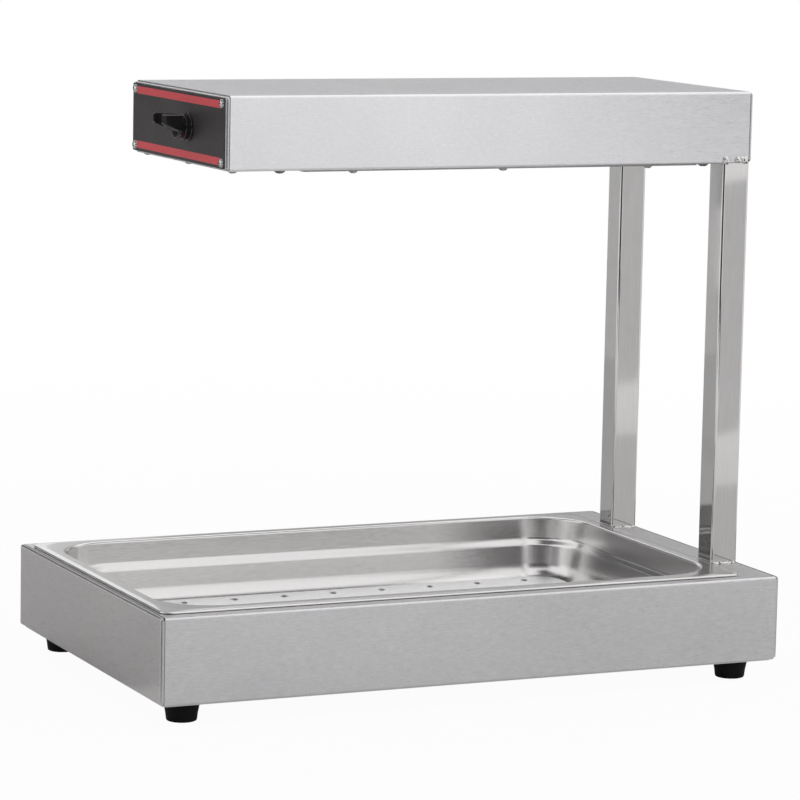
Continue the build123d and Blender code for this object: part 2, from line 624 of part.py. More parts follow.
def make_knob():
    """Round hub with a wedge-shaped grip dipped in the middle, a nut recess and a shaft bore behind."""
    knob = Part()
    for radius, end in (KNOB_SKIRT, KNOB_HUB, KNOB_NECK):
        tier = Pos(0, 0, end / 2) * Cylinder(radius, end)
        knob += fillet(tier.edges().group_by(Axis.Z)[-1], 0.8)
    foot = [(z, GRIP_START) for z in GRIP_FOOT]
    tip = [(z, GRIP_REACH) for z in GRIP_TIP]
    outline = Polyline(*foot, *reversed(tip), close=True)
    grip = Plane.YZ.offset(-GRIP_LENGTH / 2) * extrude(make_face(outline), GRIP_LENGTH)
    grip = fillet(grip.edges(), 1.0)
    across = 2 * GRIP_LENGTH
    grip -= rod(GRIP_DIP, (0, -across / 2, GRIP_REACH - 1.0), (0, 1, 0), across)
    knob += grip
    knob -= rod(9.0, (0, 0, 0), UP, 4.0)
    knob -= rod(SHAFT_RADIUS + 0.02, (0, 0, 0), UP, SHAFT_REACH + 1.0)
    face = Plane(origin=(KNOB_X, HOOD_FRONT - KNOB_GAP, HOOD_MIDDLE), x_dir=(1, 0, 0), z_dir=FORWARD)
    keep("knob", face * knob)


def make_switch():
    """Rotary switch behind the front cap: body with a threaded neck, panel nut, turning shaft."""
    width, depth, height = SWITCH_SIZE
    z_span = (HOOD_MIDDLE - height / 2, HOOD_MIDDLE + height / 2)
    body = block((KNOB_X - width / 2, KNOB_X + width / 2), (CAP_INSIDE, CAP_INSIDE + depth), z_span)
    body = fillet(body.edges().filter_by(Axis.Y), 3.0)
    neck_length = 6.0
    socket_depth = 12.0
    body += rod(SWITCH_NECK.shank, (KNOB_X, CAP_INSIDE, HOOD_MIDDLE), FORWARD, neck_length)
    socket_end = (KNOB_X, CAP_INSIDE + socket_depth, HOOD_MIDDLE)
    body -= rod(SHAFT_RADIUS + SHAFT_FIT, socket_end, FORWARD, socket_depth + neck_length)
    tab_half = 3.15
    tab_z = (HOOD_MIDDLE - 0.4, HOOD_MIDDLE + 0.4)
    for x in (LIVE_X, SWITCHED_X):
        body += block((x - tab_half, x + tab_half), (CAP_INSIDE + depth, TAB_END), tab_z)
    keep("rotary_switch", body)
    keep("switch_nut", nut((KNOB_X, HOOD_FRONT, HOOD_MIDDLE), FORWARD, SWITCH_NECK))
    tip = (KNOB_X, CAP_INSIDE + socket_depth - SEAM, HOOD_MIDDLE)
    keep("switch_shaft", rod(SHAFT_RADIUS, tip, FORWARD, tip[1] - HOOD_FRONT + SHAFT_REACH))


def wire(*points):
    """Round wire along straight runs with tangent bends."""
    path = FilletPolyline(*points, radius=WIRE_BEND)
    return sweep(Plane(origin=path @ 0, z_dir=path % 0) * Circle(WIRE_RADIUS), path=path)


def make_wiring():
    """Terminal block on the rear bulkhead, four internal wires, earth stud and cord gland."""
    front = REAR_BULKHEAD
    depth = 2 * (BLOCK_Y - REAR_BULKHEAD)
    well_depth = 6.0
    half = LIVE_X + 7.0
    terminal = block((-half, half), (front, front + depth), (BLOCK_TOP - depth, BLOCK_TOP))
    terminal = fillet(terminal.edges().filter_by(Axis.Y), 1.5)
    wells = [(x, front + depth - well_depth, HOOD_MIDDLE) for x in (-LIVE_X, 0, LIVE_X)]
    keep("terminal_block", drill(terminal, wells, REARWARD, 3.0, well_depth))
    keep("terminal_screws", *[rod(2.8, well, REARWARD, 4.0) for well in wells])

    turn = TAB_END + 10.0
    back = PIN_END - 10.0
    under = HOOD_MIDDLE - SWITCH_SIZE[2] / 2 - 4.0
    keep("wire_live", wire(
        (LIVE_X, TAB_END, HOOD_MIDDLE), (LIVE_X, turn, HOOD_MIDDLE), (LIVE_X, turn, WIRE_Z),
        (LIVE_X, BLOCK_Y, WIRE_Z), (LIVE_X, BLOCK_Y, BLOCK_TOP)))
    keep("wire_neutral", wire(
        (-ELEMENT_X, PIN_END, ELEMENT_Z), (-ELEMENT_X, back, ELEMENT_Z), (-ELEMENT_X, back, WIRE_Z),
        (-ELEMENT_X, BLOCK_Y, WIRE_Z), (-LIVE_X, BLOCK_Y, WIRE_Z), (-LIVE_X, BLOCK_Y, BLOCK_TOP)))
    keep("wire_switched", wire(
        (SWITCHED_X, TAB_END, HOOD_MIDDLE), (SWITCHED_X, turn, HOOD_MIDDLE), (SWITCHED_X, turn, under),
        (SWITCHED_X, back, under), (ELEMENT_X, back, under), (ELEMENT_X, back, ELEMENT_Z),
        (ELEMENT_X, PIN_END, ELEMENT_Z)))

    stud_y = HOOD_REAR - SHEET
    loop = BLOCK_TOP + 9.0
    wire_y = stud_y - 6.0
    keep("wire_earth", wire(
        (0, BLOCK_Y, BLOCK_TOP), (0, BLOCK_Y, loop), (0, wire_y, loop),
        (EARTH_X, wire_y, loop), (EARTH_X, wire_y, HOOD_MIDDLE + 4.4)))
    keep("earth_stud", rod(M4.shank, (EARTH_X, stud_y, HOOD_MIDDLE), FORWARD, 11.0))
    keep("earth_nut", nut((EARTH_X, stud_y - 4.5, HOOD_MIDDLE), FORWARD, M4))

    gland_z = HOOD_MIDDLE - GLAND_DROP
    neck_length = 12.0
    flange = HALF_LENGTH - HOOD_REAR
    gland = rod(GLAND_NECK.shank, (0, HOOD_REAR, gland_z), FORWARD, neck_length)
    gland += rod(GLAND_NECK.head, (0, HOOD_REAR, gland_z), REARWARD, flange)
    gland = fillet(gland.edges().group_by(Axis.Y)[-1], 0.8)
    bore = rod(GLAND_BORE, (0, HOOD_REAR - neck_length, gland_z), REARWARD, neck_length + flange)
    keep("cord_gland", gland - bore)
    keep("gland_locknut", nut((0, stud_y, gland_z), FORWARD, GLAND_NECK))


def main():
    make_base()
    make_feet()
    make_pan()
    make_drain_plate()
    make_posts()
    make_welds()
    make_hood_casing()
    make_fascia()
    make_covers()
    make_bulkheads()
    make_reflector()
    make_guard()
    make_element()
    make_knob()
    make_switch()
    make_wiring()
    os.makedirs("parts", exist_ok=True)
    for name, shape in parts.items():
        export_step(shape, f"parts/{name}.step")
        print(name, len(shape.solids()), round(shape.volume))


main()
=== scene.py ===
import functools
import logging
import math
from dataclasses import dataclass
from enum import Enum
from typing import Any, Protocol, Sequence

import bmesh
import bpy
from mathutils import Matrix, Vector


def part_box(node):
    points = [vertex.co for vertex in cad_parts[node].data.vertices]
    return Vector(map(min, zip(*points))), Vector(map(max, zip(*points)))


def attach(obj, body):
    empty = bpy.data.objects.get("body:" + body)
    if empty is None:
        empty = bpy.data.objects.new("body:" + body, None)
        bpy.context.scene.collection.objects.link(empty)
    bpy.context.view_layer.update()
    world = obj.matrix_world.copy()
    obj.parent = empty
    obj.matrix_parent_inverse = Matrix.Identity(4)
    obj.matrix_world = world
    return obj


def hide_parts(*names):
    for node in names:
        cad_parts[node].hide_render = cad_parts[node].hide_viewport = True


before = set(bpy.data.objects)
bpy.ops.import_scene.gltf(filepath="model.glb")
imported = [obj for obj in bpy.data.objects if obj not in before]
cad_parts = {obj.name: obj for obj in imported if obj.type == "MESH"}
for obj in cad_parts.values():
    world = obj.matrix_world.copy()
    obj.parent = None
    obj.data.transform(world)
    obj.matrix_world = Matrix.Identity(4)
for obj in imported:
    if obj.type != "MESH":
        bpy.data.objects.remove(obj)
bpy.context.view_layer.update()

# Looks of a counter-top fry warmer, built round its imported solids.
# Metres. +X is right seen from the knob end, +Y runs from the knob to the posts, +Z is up.

LOG = logging.getLogger("fry_warmer")
MM = 0.001
QUARTER = math.pi / 2
DOWN = (0.0, 0.0, -1.0)
UP = (0.0, 0.0, 1.0)
EAST = (1.0, 0.0, 0.0)
NORTH = (0.0, 1.0, 0.0)
SOUTH = (0.0, -1.0, 0.0)

# Edges sharper than this stay crisp on screws and bars
CRISP = math.radians(38.0)
# Share of the large faces in the shading of a bend, from 1 to 100
FLAT_FACES = 100
# Points nearer than this are one point
SAME_POINT = 0.005 * MM
# Decimals of a metre that count when solids are sorted by place
SORT_DIGITS = 4
# Most noise values lie between the outer two
NOISE_LOW = 0.3
NOISE_MIDDLE = 0.5
NOISE_HIGH = 0.7
# Octaves of finer noise in a crisp and in a soft pattern
FINE_NOISE = 3.0
SOFT_NOISE = 2.0
# Places of the colours on a Mix node and of the plain numbers on a Random Value node
MIX_COLORS = (6, 7)
MIX_RESULT = 2
RANDOM_LIMITS = (2, 3)
RANDOM_RESULT = 1
# Grain of a small fastener: short marks and small clouds
FASTENER = {"across": 300.0, "along": 300.0, "cloud": 60.0}
# The rays that show the surround itself, not only its light
SHOWING_RAYS = ("Is Camera Ray", "Is Glossy Ray", "Is Transmission Ray")
WHITE = (1.0, 1.0, 1.0, 1.0)

Color = tuple[float, float, float]
Point = tuple[float, float, float]
Pair = tuple[float, float]
Socket = bpy.types.NodeSocket


# Node trees

class NodeTree:
    """A node tree, with short ways to add and join nodes."""

    def __init__(self, tree: bpy.types.NodeTree) -> None:
        """Take a tree as it is."""
        self.tree = tree

    def add(self, kind: str, **settings: Any) -> bpy.types.Node:
        """Add one node.

        Args:
            kind: Blender's name of the node type.
            **settings: Properties to set on it.

        Returns:
            The new node.
        """
        node = self.tree.nodes.new(kind)
        for key, value in settings.items():
            setattr(node, key, value)
        return node

    def put(self, value: Any, entry: Socket) -> None:
        """Give an input its value.

        Args:
            value: A number, a vector, a socket, or a list of sockets for an input that takes several.
            entry: The input.
        """
        if isinstance(value, list):
            for part in value:
                self.tree.links.new(part, entry)
        elif isinstance(value, Socket):
            self.tree.links.new(value, entry)
        else:
            entry.default_value = value

    def feed(self, node: bpy.types.Node, **entries: Any) -> Socket:
        """Fill a node's inputs; an underscore stands for a space.

        Args:
            node: The node.
            **entries: What each input gets.

        Returns:
            The node's first output.
        """
        for key, value in entries.items():
            self.put(value, node.inputs[key.replace("_", " ")])
        return node.outputs[0]

    def made(self, kind: str, **entries: Any) -> Socket:
        """Add a node, fill its inputs and give its first output."""
        return self.feed(self.add(kind), **entries)

    def math(self, operation: str, first: Any, second: Any = 0.0) -> Socket:
        """Join two numbers or sockets.

        Args:
            operation: Blender's name of the operation.
            first: First number or socket.
            second: Second number or socket, for an operation that takes one.

        Returns:
            The result.
        """
        node = self.add("ShaderNodeMath", operation=operation)
        self.put(first, node.inputs[0])
        self.put(second, node.inputs[1])
        return node.outputs[0]

    def largest(self, values: Sequence[Socket]) -> Socket:
        """Largest of several values."""
        return functools.reduce(lambda first, second: self.math("MAXIMUM", first, second), values)


class ShaderTree(NodeTree):
    """A material's node tree, which ends in one shader."""

    def __init__(self, name: str, kind: str = "ShaderNodeBsdfPrincipled") -> None:
        """Start a material.

        Args:
            name: Name of the material.
            kind: Blender's name of the shader that it ends in.
        """
        self.material = bpy.data.materials.new(name)
        self.material.use_nodes = True
        super().__init__(self.material.node_tree)
        self.tree.nodes.clear()
        self.shader = self.add(kind)
        output = self.add("ShaderNodeOutputMaterial")
        self.put(self.shader.outputs[0], output.inputs["Surface"])
        self.coords = self.add("ShaderNodeTexCoord").outputs["Object"]

    def noise(self, scale: Point, detail: float, rough: float = 0.55) -> Socket:
        """Noise over the piece's own coordinates, with a scale in cells per metre along X, Y and Z."""
        place = self.made("ShaderNodeMapping", Vector=self.coords, Scale=scale)
        return self.made("ShaderNodeTexNoise", Vector=place, Scale=1.0, Detail=detail, Roughness=rough)

    def ranged(self, value: Socket, low: float = 0.0, high: float = 1.0) -> Socket:
        """Spread a noise value between two numbers."""
        return self.made("ShaderNodeMapRange", Value=value, From_Min=NOISE_LOW, From_Max=NOISE_HIGH,
                         To_Min=low, To_Max=high)

    def mixed(self, share: Socket, first: Any, second: Any) -> Socket:
        """Mix two colours.

        Args:
            share: Share of the second colour.
            first: Colour, or a socket that gives one.
            second: Colour, or a socket that gives one.

        Returns:
            The mixed colour.
        """
        node = self.add("ShaderNodeMix", data_type="RGBA")
        self.put(share, node.inputs["Factor"])
        for index, color in zip(MIX_COLORS, (first, second)):
            self.put(color if isinstance(color, Socket) else (*color, 1.0), node.inputs[index])
        return node.outputs[MIX_RESULT]

    def relief(self, height: Socket, strength: float, depth: float) -> None:
        """Shade the surface by a height from 0 to 1, where 1 is a step of the given depth in metres."""
        bump = self.made("ShaderNodeBump", Strength=strength, Distance=depth, Height=height)
        self.feed(self.shader, Normal=bump)


class GeometryTree(NodeTree):
    """A Geometry Nodes tree with named inputs, run once and kept as a plain mesh."""

    def __init__(self, name: str) -> None:
        """Start a tree with a geometry input and output.

        Args:
            name: Name of the tree.
        """
        super().__init__(bpy.data.node_groups.new(name, "GeometryNodeTree"))
        self.values: dict[str, Any] = {}
        self._socket("Geometry", "NodeSocketGeometry")
        self.tree.interface.new_socket("Geometry", in_out="OUTPUT", socket_type="NodeSocketGeometry")
        self.entry = self.add("NodeGroupInput")
        self.exit = self.add("NodeGroupOutput")

    def _socket(self, name: str, kind: str) -> str:
        """Add a named input and return its identifier."""
        return self.tree.interface.new_socket(name, in_out="INPUT", socket_type=kind).identifier

    def value(self, name: str, value: Any) -> Socket:
        """Add a named input and the value that it gets.

        Args:
            name: Name shown on the modifier.
            value: A whole number, a number or a material.

        Returns:
            The input, as an output of the group's entry.
        """
        kinds = {int: "NodeSocketInt", float: "NodeSocketFloat", bpy.types.Material: "NodeSocketMaterial"}
        self.values[self._socket(name, kinds[type(value)])] = value
        return self.entry.outputs[name]

    def vector(self, x: Any = 0.0, y: Any = 0.0, z: Any = 0.0) -> Socket:
        """Vector from three numbers or sockets."""
        return self.made("ShaderNodeCombineXYZ", X=x, Y=y, Z=z)

    def chance(self, low: float, high: float, seed: Socket) -> Socket:
        """Random number for each point, from a fixed seed.

        Args:
            low: Lowest number.
            high: Highest number.
            seed: The tree's seed.

        Returns:
            The random number.
        """
        node = self.add("FunctionNodeRandomValue", data_type="FLOAT")
        for index, limit in zip(RANDOM_LIMITS, (low, high)):
            self.put(limit, node.inputs[index])
        self.put(seed, node.inputs["Seed"])
        return node.outputs[RANDOM_RESULT]

    def smooth(self, geometry: Socket, limit: float = CRISP) -> Socket:
        """Shade smooth, with edges sharper than a limit kept crisp.

        Args:
            geometry: The mesh.
            limit: Largest angle that is still smooth, in radians.

        Returns:
            The shaded mesh.
        """
        faces = self.made("GeometryNodeSetShadeSmooth", Geometry=geometry, Shade_Smooth=True)
        crisp = self.math("GREATER_THAN", self.made("GeometryNodeInputMeshEdgeAngle"), limit)
        edges = self.add("GeometryNodeSetShadeSmooth", domain="EDGE")
        return self.feed(edges, Geometry=faces, Selection=crisp, Shade_Smooth=False)

    def close(self, geometry: Socket, material: Socket) -> None:
        """End the tree: realize the instances and set the material.

        Args:
            geometry: What was built.
            material: The material input.
        """
        real = self.made("GeometryNodeRealizeInstances", Geometry=geometry)
        dressed = self.made("GeometryNodeSetMaterial", Geometry=real, Material=material)
        self.put(dressed, self.exit.inputs["Geometry"])

    def run(self, points: Sequence[Point] = ()) -> bpy.types.Mesh:
        """Run the tree on a few points.

        Args:
            points: Vertices of the carrier mesh.

        Returns:
            The result as a plain mesh.
        """
        carrier_mesh = bpy.data.meshes.new("carrier")
        carrier_mesh.from_pydata(list(points), [], [])
        carrier = bpy.data.objects.new("carrier", carrier_mesh)
        bpy.context.scene.collection.objects.link(carrier)
        modifier = carrier.modifiers.new(self.tree.name, "NODES")
        modifier.node_group = self.tree
        for identifier, value in self.values.items():
            modifier[identifier] = value
        graph = bpy.context.evaluated_depsgraph_get()
        mesh = bpy.data.meshes.new_from_object(carrier.evaluated_get(graph))
        carrier.modifiers.clear()
        bpy.data.objects.remove(carrier)
        bpy.data.meshes.remove(carrier_mesh)
        return mesh


# Finishes

class Grain(Enum):
    """The way that a sheet or tube was brushed; the value is the index of its axis."""

    ALONG_X = 0
    ALONG_Y = 1
    ALONG_Z = 2

    def stretch(self, across: float, along: float) -> Point:
        """Noise scale that draws long lines along the grain.

        Args:
            across: Lines per metre.
            along: Breaks per metre along a line.

        Returns:
            Scale along X, Y and Z.
        """
        scale = [across, across, across]
        scale[self.value] = along
        return tuple(scale)


class Finish(Protocol):
    """Anything that can make a material."""

    name: str

    def build(self) -> bpy.types.Material:
        """Make the material."""


@dataclass(frozen=True)
class Metal:
    """Bare metal: brushed lines, faint clouds and a sheen that follows the lines.

    Lines, mottle and clouds are counted in cells per metre, and their shares make up the tone of the colour.
    """

    name: str
    light: Color
    dark: Color
    roughness: Pair
    grain: Grain = Grain.ALONG_Y
    across: float = 1150.0
    along: float = 130.0
    relief: float = 0.04
    depth: float = 0.2 * MM
    cloud: float = 5.0
    line_share: float = 0.5
    mottle_share: float = 0.2
    cloud_share: float = 0.3
    mottle_finer: float = 2.0
    warm: Color = (0.68, 0.60, 0.60)
    warm_spread: float = 2.3
    cool: Color = (0.58, 0.60, 0.66)
    cool_spread: float = 3.1
    tint_rise: float = 3.4
    tint_rough: float = 0.6
    tinted: float = 0.14
    metallic: float = 1.0

    def build(self) -> bpy.types.Material:
        """Make the material.

        Returns:
            The metal.
        """
        tree = ShaderTree(self.name)
        lines = tree.noise(self.grain.stretch(self.across, self.along), FINE_NOISE)
        clouds = tree.noise((self.cloud,) * 3, SOFT_NOISE)
        mottle = tree.noise((self.along * self.mottle_finer,) * 3, SOFT_NOISE)
        weighed = [tree.math("MULTIPLY", value, share) for value, share in (
            (lines, self.line_share), (mottle, self.mottle_share), (clouds, self.cloud_share))]
        tone = functools.reduce(lambda first, second: tree.math("ADD", first, second), weighed)
        color = tree.mixed(tree.ranged(tone), self.dark, self.light)
        for spread, tint in ((self.warm_spread, self.warm), (self.cool_spread, self.cool)):
            wide = self.cloud * spread
            patches = tree.noise((wide, wide, self.cloud * self.tint_rise), FINE_NOISE, self.tint_rough)
            color = tree.mixed(tree.ranged(patches, 0.0, self.tinted), color, tint)
        tree.feed(tree.shader, Base_Color=color, Roughness=tree.ranged(lines, *self.roughness),
                  Metallic=self.metallic)
        tree.relief(lines, self.relief, self.depth)
        return tree.material


@dataclass(frozen=True)
class Moulding:
    """Moulded plastic, rubber or fired clay: a fine skin with a little wear in its colour."""

    name: str
    color: Color
    worn: Color
    roughness: Pair
    skin: float = 900.0
    wear: float = 40.0
    relief: float = 0.15
    depth: float = 0.1 * MM
    specular: float = 0.5

    def build(self) -> bpy.types.Material:
        """Make the material.

        Returns:
            The moulding.
        """
        tree = ShaderTree(self.name)
        skin = tree.noise((self.skin,) * 3, SOFT_NOISE)
        wear = tree.noise((self.wear,) * 3, FINE_NOISE)
        tree.feed(tree.shader, Base_Color=tree.mixed(tree.ranged(wear), self.color, self.worn),
                  Roughness=tree.ranged(wear, *self.roughness), Specular_IOR_Level=self.specular)
        tree.relief(skin, self.relief, self.depth)
        return tree.material


@dataclass(frozen=True)
class PrintedPanel:
    """Dark satin panel with two printed stripes between its corner screws."""

    name: str
    dark: Color = (0.040, 0.034, 0.036)
    lighter: Color = (0.056, 0.049, 0.051)
    stripe: Color = (0.70, 0.085, 0.098)
    faded: float = 0.88
    stripe_rise: float = 23.2 * MM
    stripe_half: float = 3.1 * MM
    stripe_reach: float = 96.5 * MM
    front_depth: float = 0.1 * MM
    speckle: float = 420.0
    cloud: float = 18.0
    roughness: Pair = (0.36, 0.5)
    relief: float = 0.06
    depth: float = 0.1 * MM
    specular: float = 0.3

    def printed(self, tree: ShaderTree) -> Socket:
        """Mask of the two stripes on the panel's front.

        Args:
            tree: The material's tree.

        Returns:
            1 on the stripes, 0 elsewhere.
        """
        low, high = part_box("control_fascia")
        place = tree.add("ShaderNodeSeparateXYZ")
        tree.feed(place, Vector=tree.coords)
        height = tree.math("ABSOLUTE", tree.math("SUBTRACT", place.outputs["Z"], (low.z + high.z) / 2))
        off_line = tree.math("ABSOLUTE", tree.math("SUBTRACT", height, self.stripe_rise))
        inside = tree.math("LESS_THAN", off_line, self.stripe_half)
        along = tree.math("LESS_THAN", tree.math("ABSOLUTE", place.outputs["X"]), self.stripe_reach)
        front = tree.math("LESS_THAN", place.outputs["Y"], low.y + self.front_depth)
        return tree.math("MULTIPLY", tree.math("MULTIPLY", inside, along), front)

    def build(self) -> bpy.types.Material:
        """Make the material.

        Returns:
            The printed panel.
        """
        tree = ShaderTree(self.name)
        speckle = tree.noise((self.speckle,) * 3, FINE_NOISE)
        clouds = tree.noise((self.cloud,) * 3, SOFT_NOISE)
        ground = tree.mixed(tree.ranged(clouds), self.dark, self.lighter)
        ink = tree.mixed(tree.ranged(speckle), self.stripe, [part * self.faded for part in self.stripe])
        tree.feed(tree.shader, Base_Color=tree.mixed(self.printed(tree), ground, ink),
                  Roughness=tree.ranged(speckle, *self.roughness), Specular_IOR_Level=self.specular)
        tree.relief(speckle, self.relief, self.depth)
        return tree.material


class Palette:
    """Every finish of the warmer, some with painted light or shade in their tone, each made into a material
    once.
    """

    # Hood, cap, base and base-end steels are one stainless steel in lighter and darker copies; the hood's
    # lighter tone is painted light on its sides
    HOOD = Metal("hood_steel_lit", (0.90, 0.90, 0.925), (0.74, 0.74, 0.755), (0.26, 0.36), tinted=0.08)
    # Darker copy of the hood steel: painted shade on the caps' end faces
    HOOD_CAP = Metal("hood_cap_steel_shaded", (0.74, 0.73, 0.73), (0.62, 0.61, 0.61), (0.26, 0.36), Grain.ALONG_X)
    PANEL = PrintedPanel("control_panel")
    # Darker copy of the hood steel: painted shade on the low base's sides
    BASE = Metal("base_steel_shaded", (0.82, 0.82, 0.83), (0.61, 0.605, 0.61), (0.26, 0.38))
    # Darker copy again: painted shade on the base's end faces
    BASE_END = Metal("base_end_steel_shaded", (0.72, 0.70, 0.695), (0.60, 0.58, 0.575), (0.26, 0.38), Grain.ALONG_X)
    POST = Metal("post_steel", (0.71, 0.70, 0.69), (0.58, 0.57, 0.56), (0.03, 0.07), Grain.ALONG_Z,
                 along=30.0, relief=0.01)
    PAN = Metal("pan_steel", (0.83, 0.82, 0.815), (0.76, 0.75, 0.745), (0.2, 0.26), relief=0.002, tinted=0.05)
    # Near-white copy of the pan steel: its raised tone is painted light on the plate
    DRAIN = Metal("drain_plate_steel_lit", (0.97, 0.97, 0.97), (0.92, 0.92, 0.92), (0.44, 0.54), relief=0.03,
                  tinted=0.0, metallic=0.97)
    # Weld metal, partly its own colour and partly painted glints in its near-white light tone
    WELD = Metal("weld_metal_glint", (0.95, 0.94, 0.93), (0.62, 0.60, 0.58), (0.05, 0.16), across=400.0,
                 along=400.0, relief=0.2, cloud=150.0)
    # Plated screw steel darkened as painted shade, for the heads under the hood
    UNDER_HOOD_SHADED = Metal("under_hood_shaded_screw", (0.46, 0.455, 0.45), (0.32, 0.315, 0.31), (0.22, 0.34), **FASTENER)
    BRIGHT = Metal("bright_screw", (0.72, 0.72, 0.72), (0.56, 0.56, 0.56), (0.16, 0.3), **FASTENER)
    BLACKENED = Metal("blackened_screw", (0.16, 0.155, 0.15), (0.07, 0.07, 0.07), (0.3, 0.45), **FASTENER)
    INNER = Metal("inner_steel", (0.58, 0.58, 0.58), (0.48, 0.48, 0.48), (0.3, 0.42), Grain.ALONG_X)
    REFLECTOR = Metal("reflector_aluminium", (0.84, 0.84, 0.86), (0.76, 0.76, 0.78), (0.1, 0.18), relief=0.02)
    GUARD = Metal("guard_steel", (0.26, 0.25, 0.24), (0.15, 0.145, 0.14), (0.25, 0.36), Grain.ALONG_X)
    SHEATH = Metal("element_sheath", (0.30, 0.24, 0.20), (0.13, 0.10, 0.10), (0.32, 0.5), across=220.0,
                   along=40.0, cloud=22.0)
    BRASS = Metal("brass", (0.78, 0.60, 0.30), (0.62, 0.45, 0.20), (0.22, 0.34), across=300.0, along=300.0)
    PLATED = Metal("plated_steel", (0.70, 0.70, 0.70), (0.58, 0.58, 0.58), (0.18, 0.28), across=300.0)
    RUBBER = Moulding("foot_rubber", (0.005, 0.005, 0.0055), (0.011, 0.0105, 0.010), (0.5, 0.7), specular=0.1)
    GROMMET = Moulding("grommet_rubber", (0.014, 0.014, 0.014), (0.03, 0.03, 0.03), (0.55, 0.7))
    KNOB = Moulding("knob_plastic", (0.008, 0.008, 0.009), (0.014, 0.014, 0.015), (0.08, 0.16),
                    relief=0.02, specular=0.6)
    SWITCH = Moulding("switch_plastic", (0.02, 0.02, 0.022), (0.035, 0.035, 0.036), (0.4, 0.55))
    CERAMIC = Moulding("ceramic", (0.80, 0.78, 0.72), (0.70, 0.66, 0.58), (0.45, 0.6), relief=0.1)
    BROWN = Moulding("wire_brown", (0.16, 0.07, 0.03), (0.22, 0.10, 0.05), (0.45, 0.6))
    BLUE = Moulding("wire_blue", (0.03, 0.10, 0.36), (0.05, 0.14, 0.44), (0.45, 0.6))
    GREEN = Moulding("wire_green", (0.10, 0.34, 0.06), (0.34, 0.42, 0.05), (0.45, 0.6))

    def __init__(self) -> None:
        """Start with no material made."""
        self._made: dict[str, bpy.types.Material] = {}

    def material(self, finish: Finish) -> bpy.types.Material:
        """Material of a finish, made on first use.

        Args:
            finish: The finish.

        Returns:
            Its material.
        """
        if finish.name not in self._made:
            self._made[finish.name] = finish.build()
        return self._made[finish.name]

    def dress(self, finish: Finish, *nodes: str) -> None:
        """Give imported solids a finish.

        Args:
            finish: The finish.
            *nodes: Names of the solids.
        """
        for node in nodes:
            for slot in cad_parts[node].material_slots:
                slot.material = self.material(finish)
            LOG.info("%s dressed in %s", node, finish.name)


# Shared mesh making

@dataclass(frozen=True)
class Role:
    """Where a new piece belongs: its body, a slot name that nothing here uses, and the solids it stands for.
    """

    body: str
    slot: str
    stands_for: tuple[str, ...]


def place_piece(name: str, mesh: bpy.types.Mesh, material: bpy.types.Material,
                role: Role) -> bpy.types.Object:
    """Add a finished mesh to the scene as a piece of the warmer.

    Args:
        name: Name of the piece.
        mesh: Its mesh, already in place.
        material: Its material.
        role: Its body and solids; its slot is not used.

    Returns:
        The piece.
    """
    if not mesh.materials:
        mesh.materials.append(material)
    piece = bpy.data.objects.new(name, mesh)
    bpy.context.scene.collection.objects.link(piece)
    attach(piece, role.body)
    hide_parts(*role.stands_for)
    LOG.info("%s built for %s", name, ", ".join(role.stands_for))
    return piece


def bmesh_to_mesh(shape: bmesh.types.BMesh, name: str, place: Matrix = Matrix()) -> bpy.types.Mesh:
    """Turn a bmesh into a smooth-shaded mesh.

    Args:
        shape: The bmesh, which is freed.
        name: Name of the mesh.
        place: Transform to apply.

    Returns:
        The mesh.
    """
    mesh = bpy.data.meshes.new(name)
    shape.to_mesh(mesh)
    shape.free()
    mesh.transform(place)
    mesh.polygons.foreach_set("use_smooth", [True] * len(mesh.polygons))
    return mesh


def weigh_normals(piece: bpy.types.Object) -> None:
    """Keep flat faces flat and bends soft in the shading.

    Args:
        piece: The piece, which gets a modifier.
    """
    modifier = piece.modifiers.new("weighted_normals", "WEIGHTED_NORMAL")
    modifier.weight = FLAT_FACES
    modifier.keep_sharp = True


def thicken(piece: bpy.types.Object, thickness: float) -> None:
    """Give a skin its sheet thickness, behind the faces.

    Args:
        piece: The skin.
        thickness: Sheet thickness in metres.
    """
    modifier = piece.modifiers.new("sheet", "SOLIDIFY")
    modifier.thickness = thickness
    modifier.offset = -1.0
    modifier.use_even_offset = True


def rounded_loop(half_x: float, half_y: float, radius: float, middle: Point, steps: int,
                 runs: int) -> list[Vector]:
    """Rounded rectangle as a loop of points.

    Args:
        half_x: Half its width.
        half_y: Half its length.
        radius: Corner radius.
        middle: Its middle.
        steps: Straight pieces in each corner.
        runs: Pieces in each straight side.

    Returns:
        The points, turning left seen from above.
    """
    corners = []
    for quarter, (side_x, side_y) in enumerate(((1, 1), (-1, 1), (-1, -1), (1, -1))):
        core = Vector(middle) + Vector((side_x * (half_x - radius), side_y * (half_y - radius), 0.0))
        angles = [(quarter + step / steps) * QUARTER for step in range(steps + 1)]
        corners.append([core + radius * Vector((math.cos(a), math.sin(a), 0.0)) for a in angles])
    points = []
    for corner, following in zip(corners, corners[1:] + corners[:1]):
        points += corner
        points += [corner[-1].lerp(following[0], run / runs) for run in range(1, runs)]
    return points


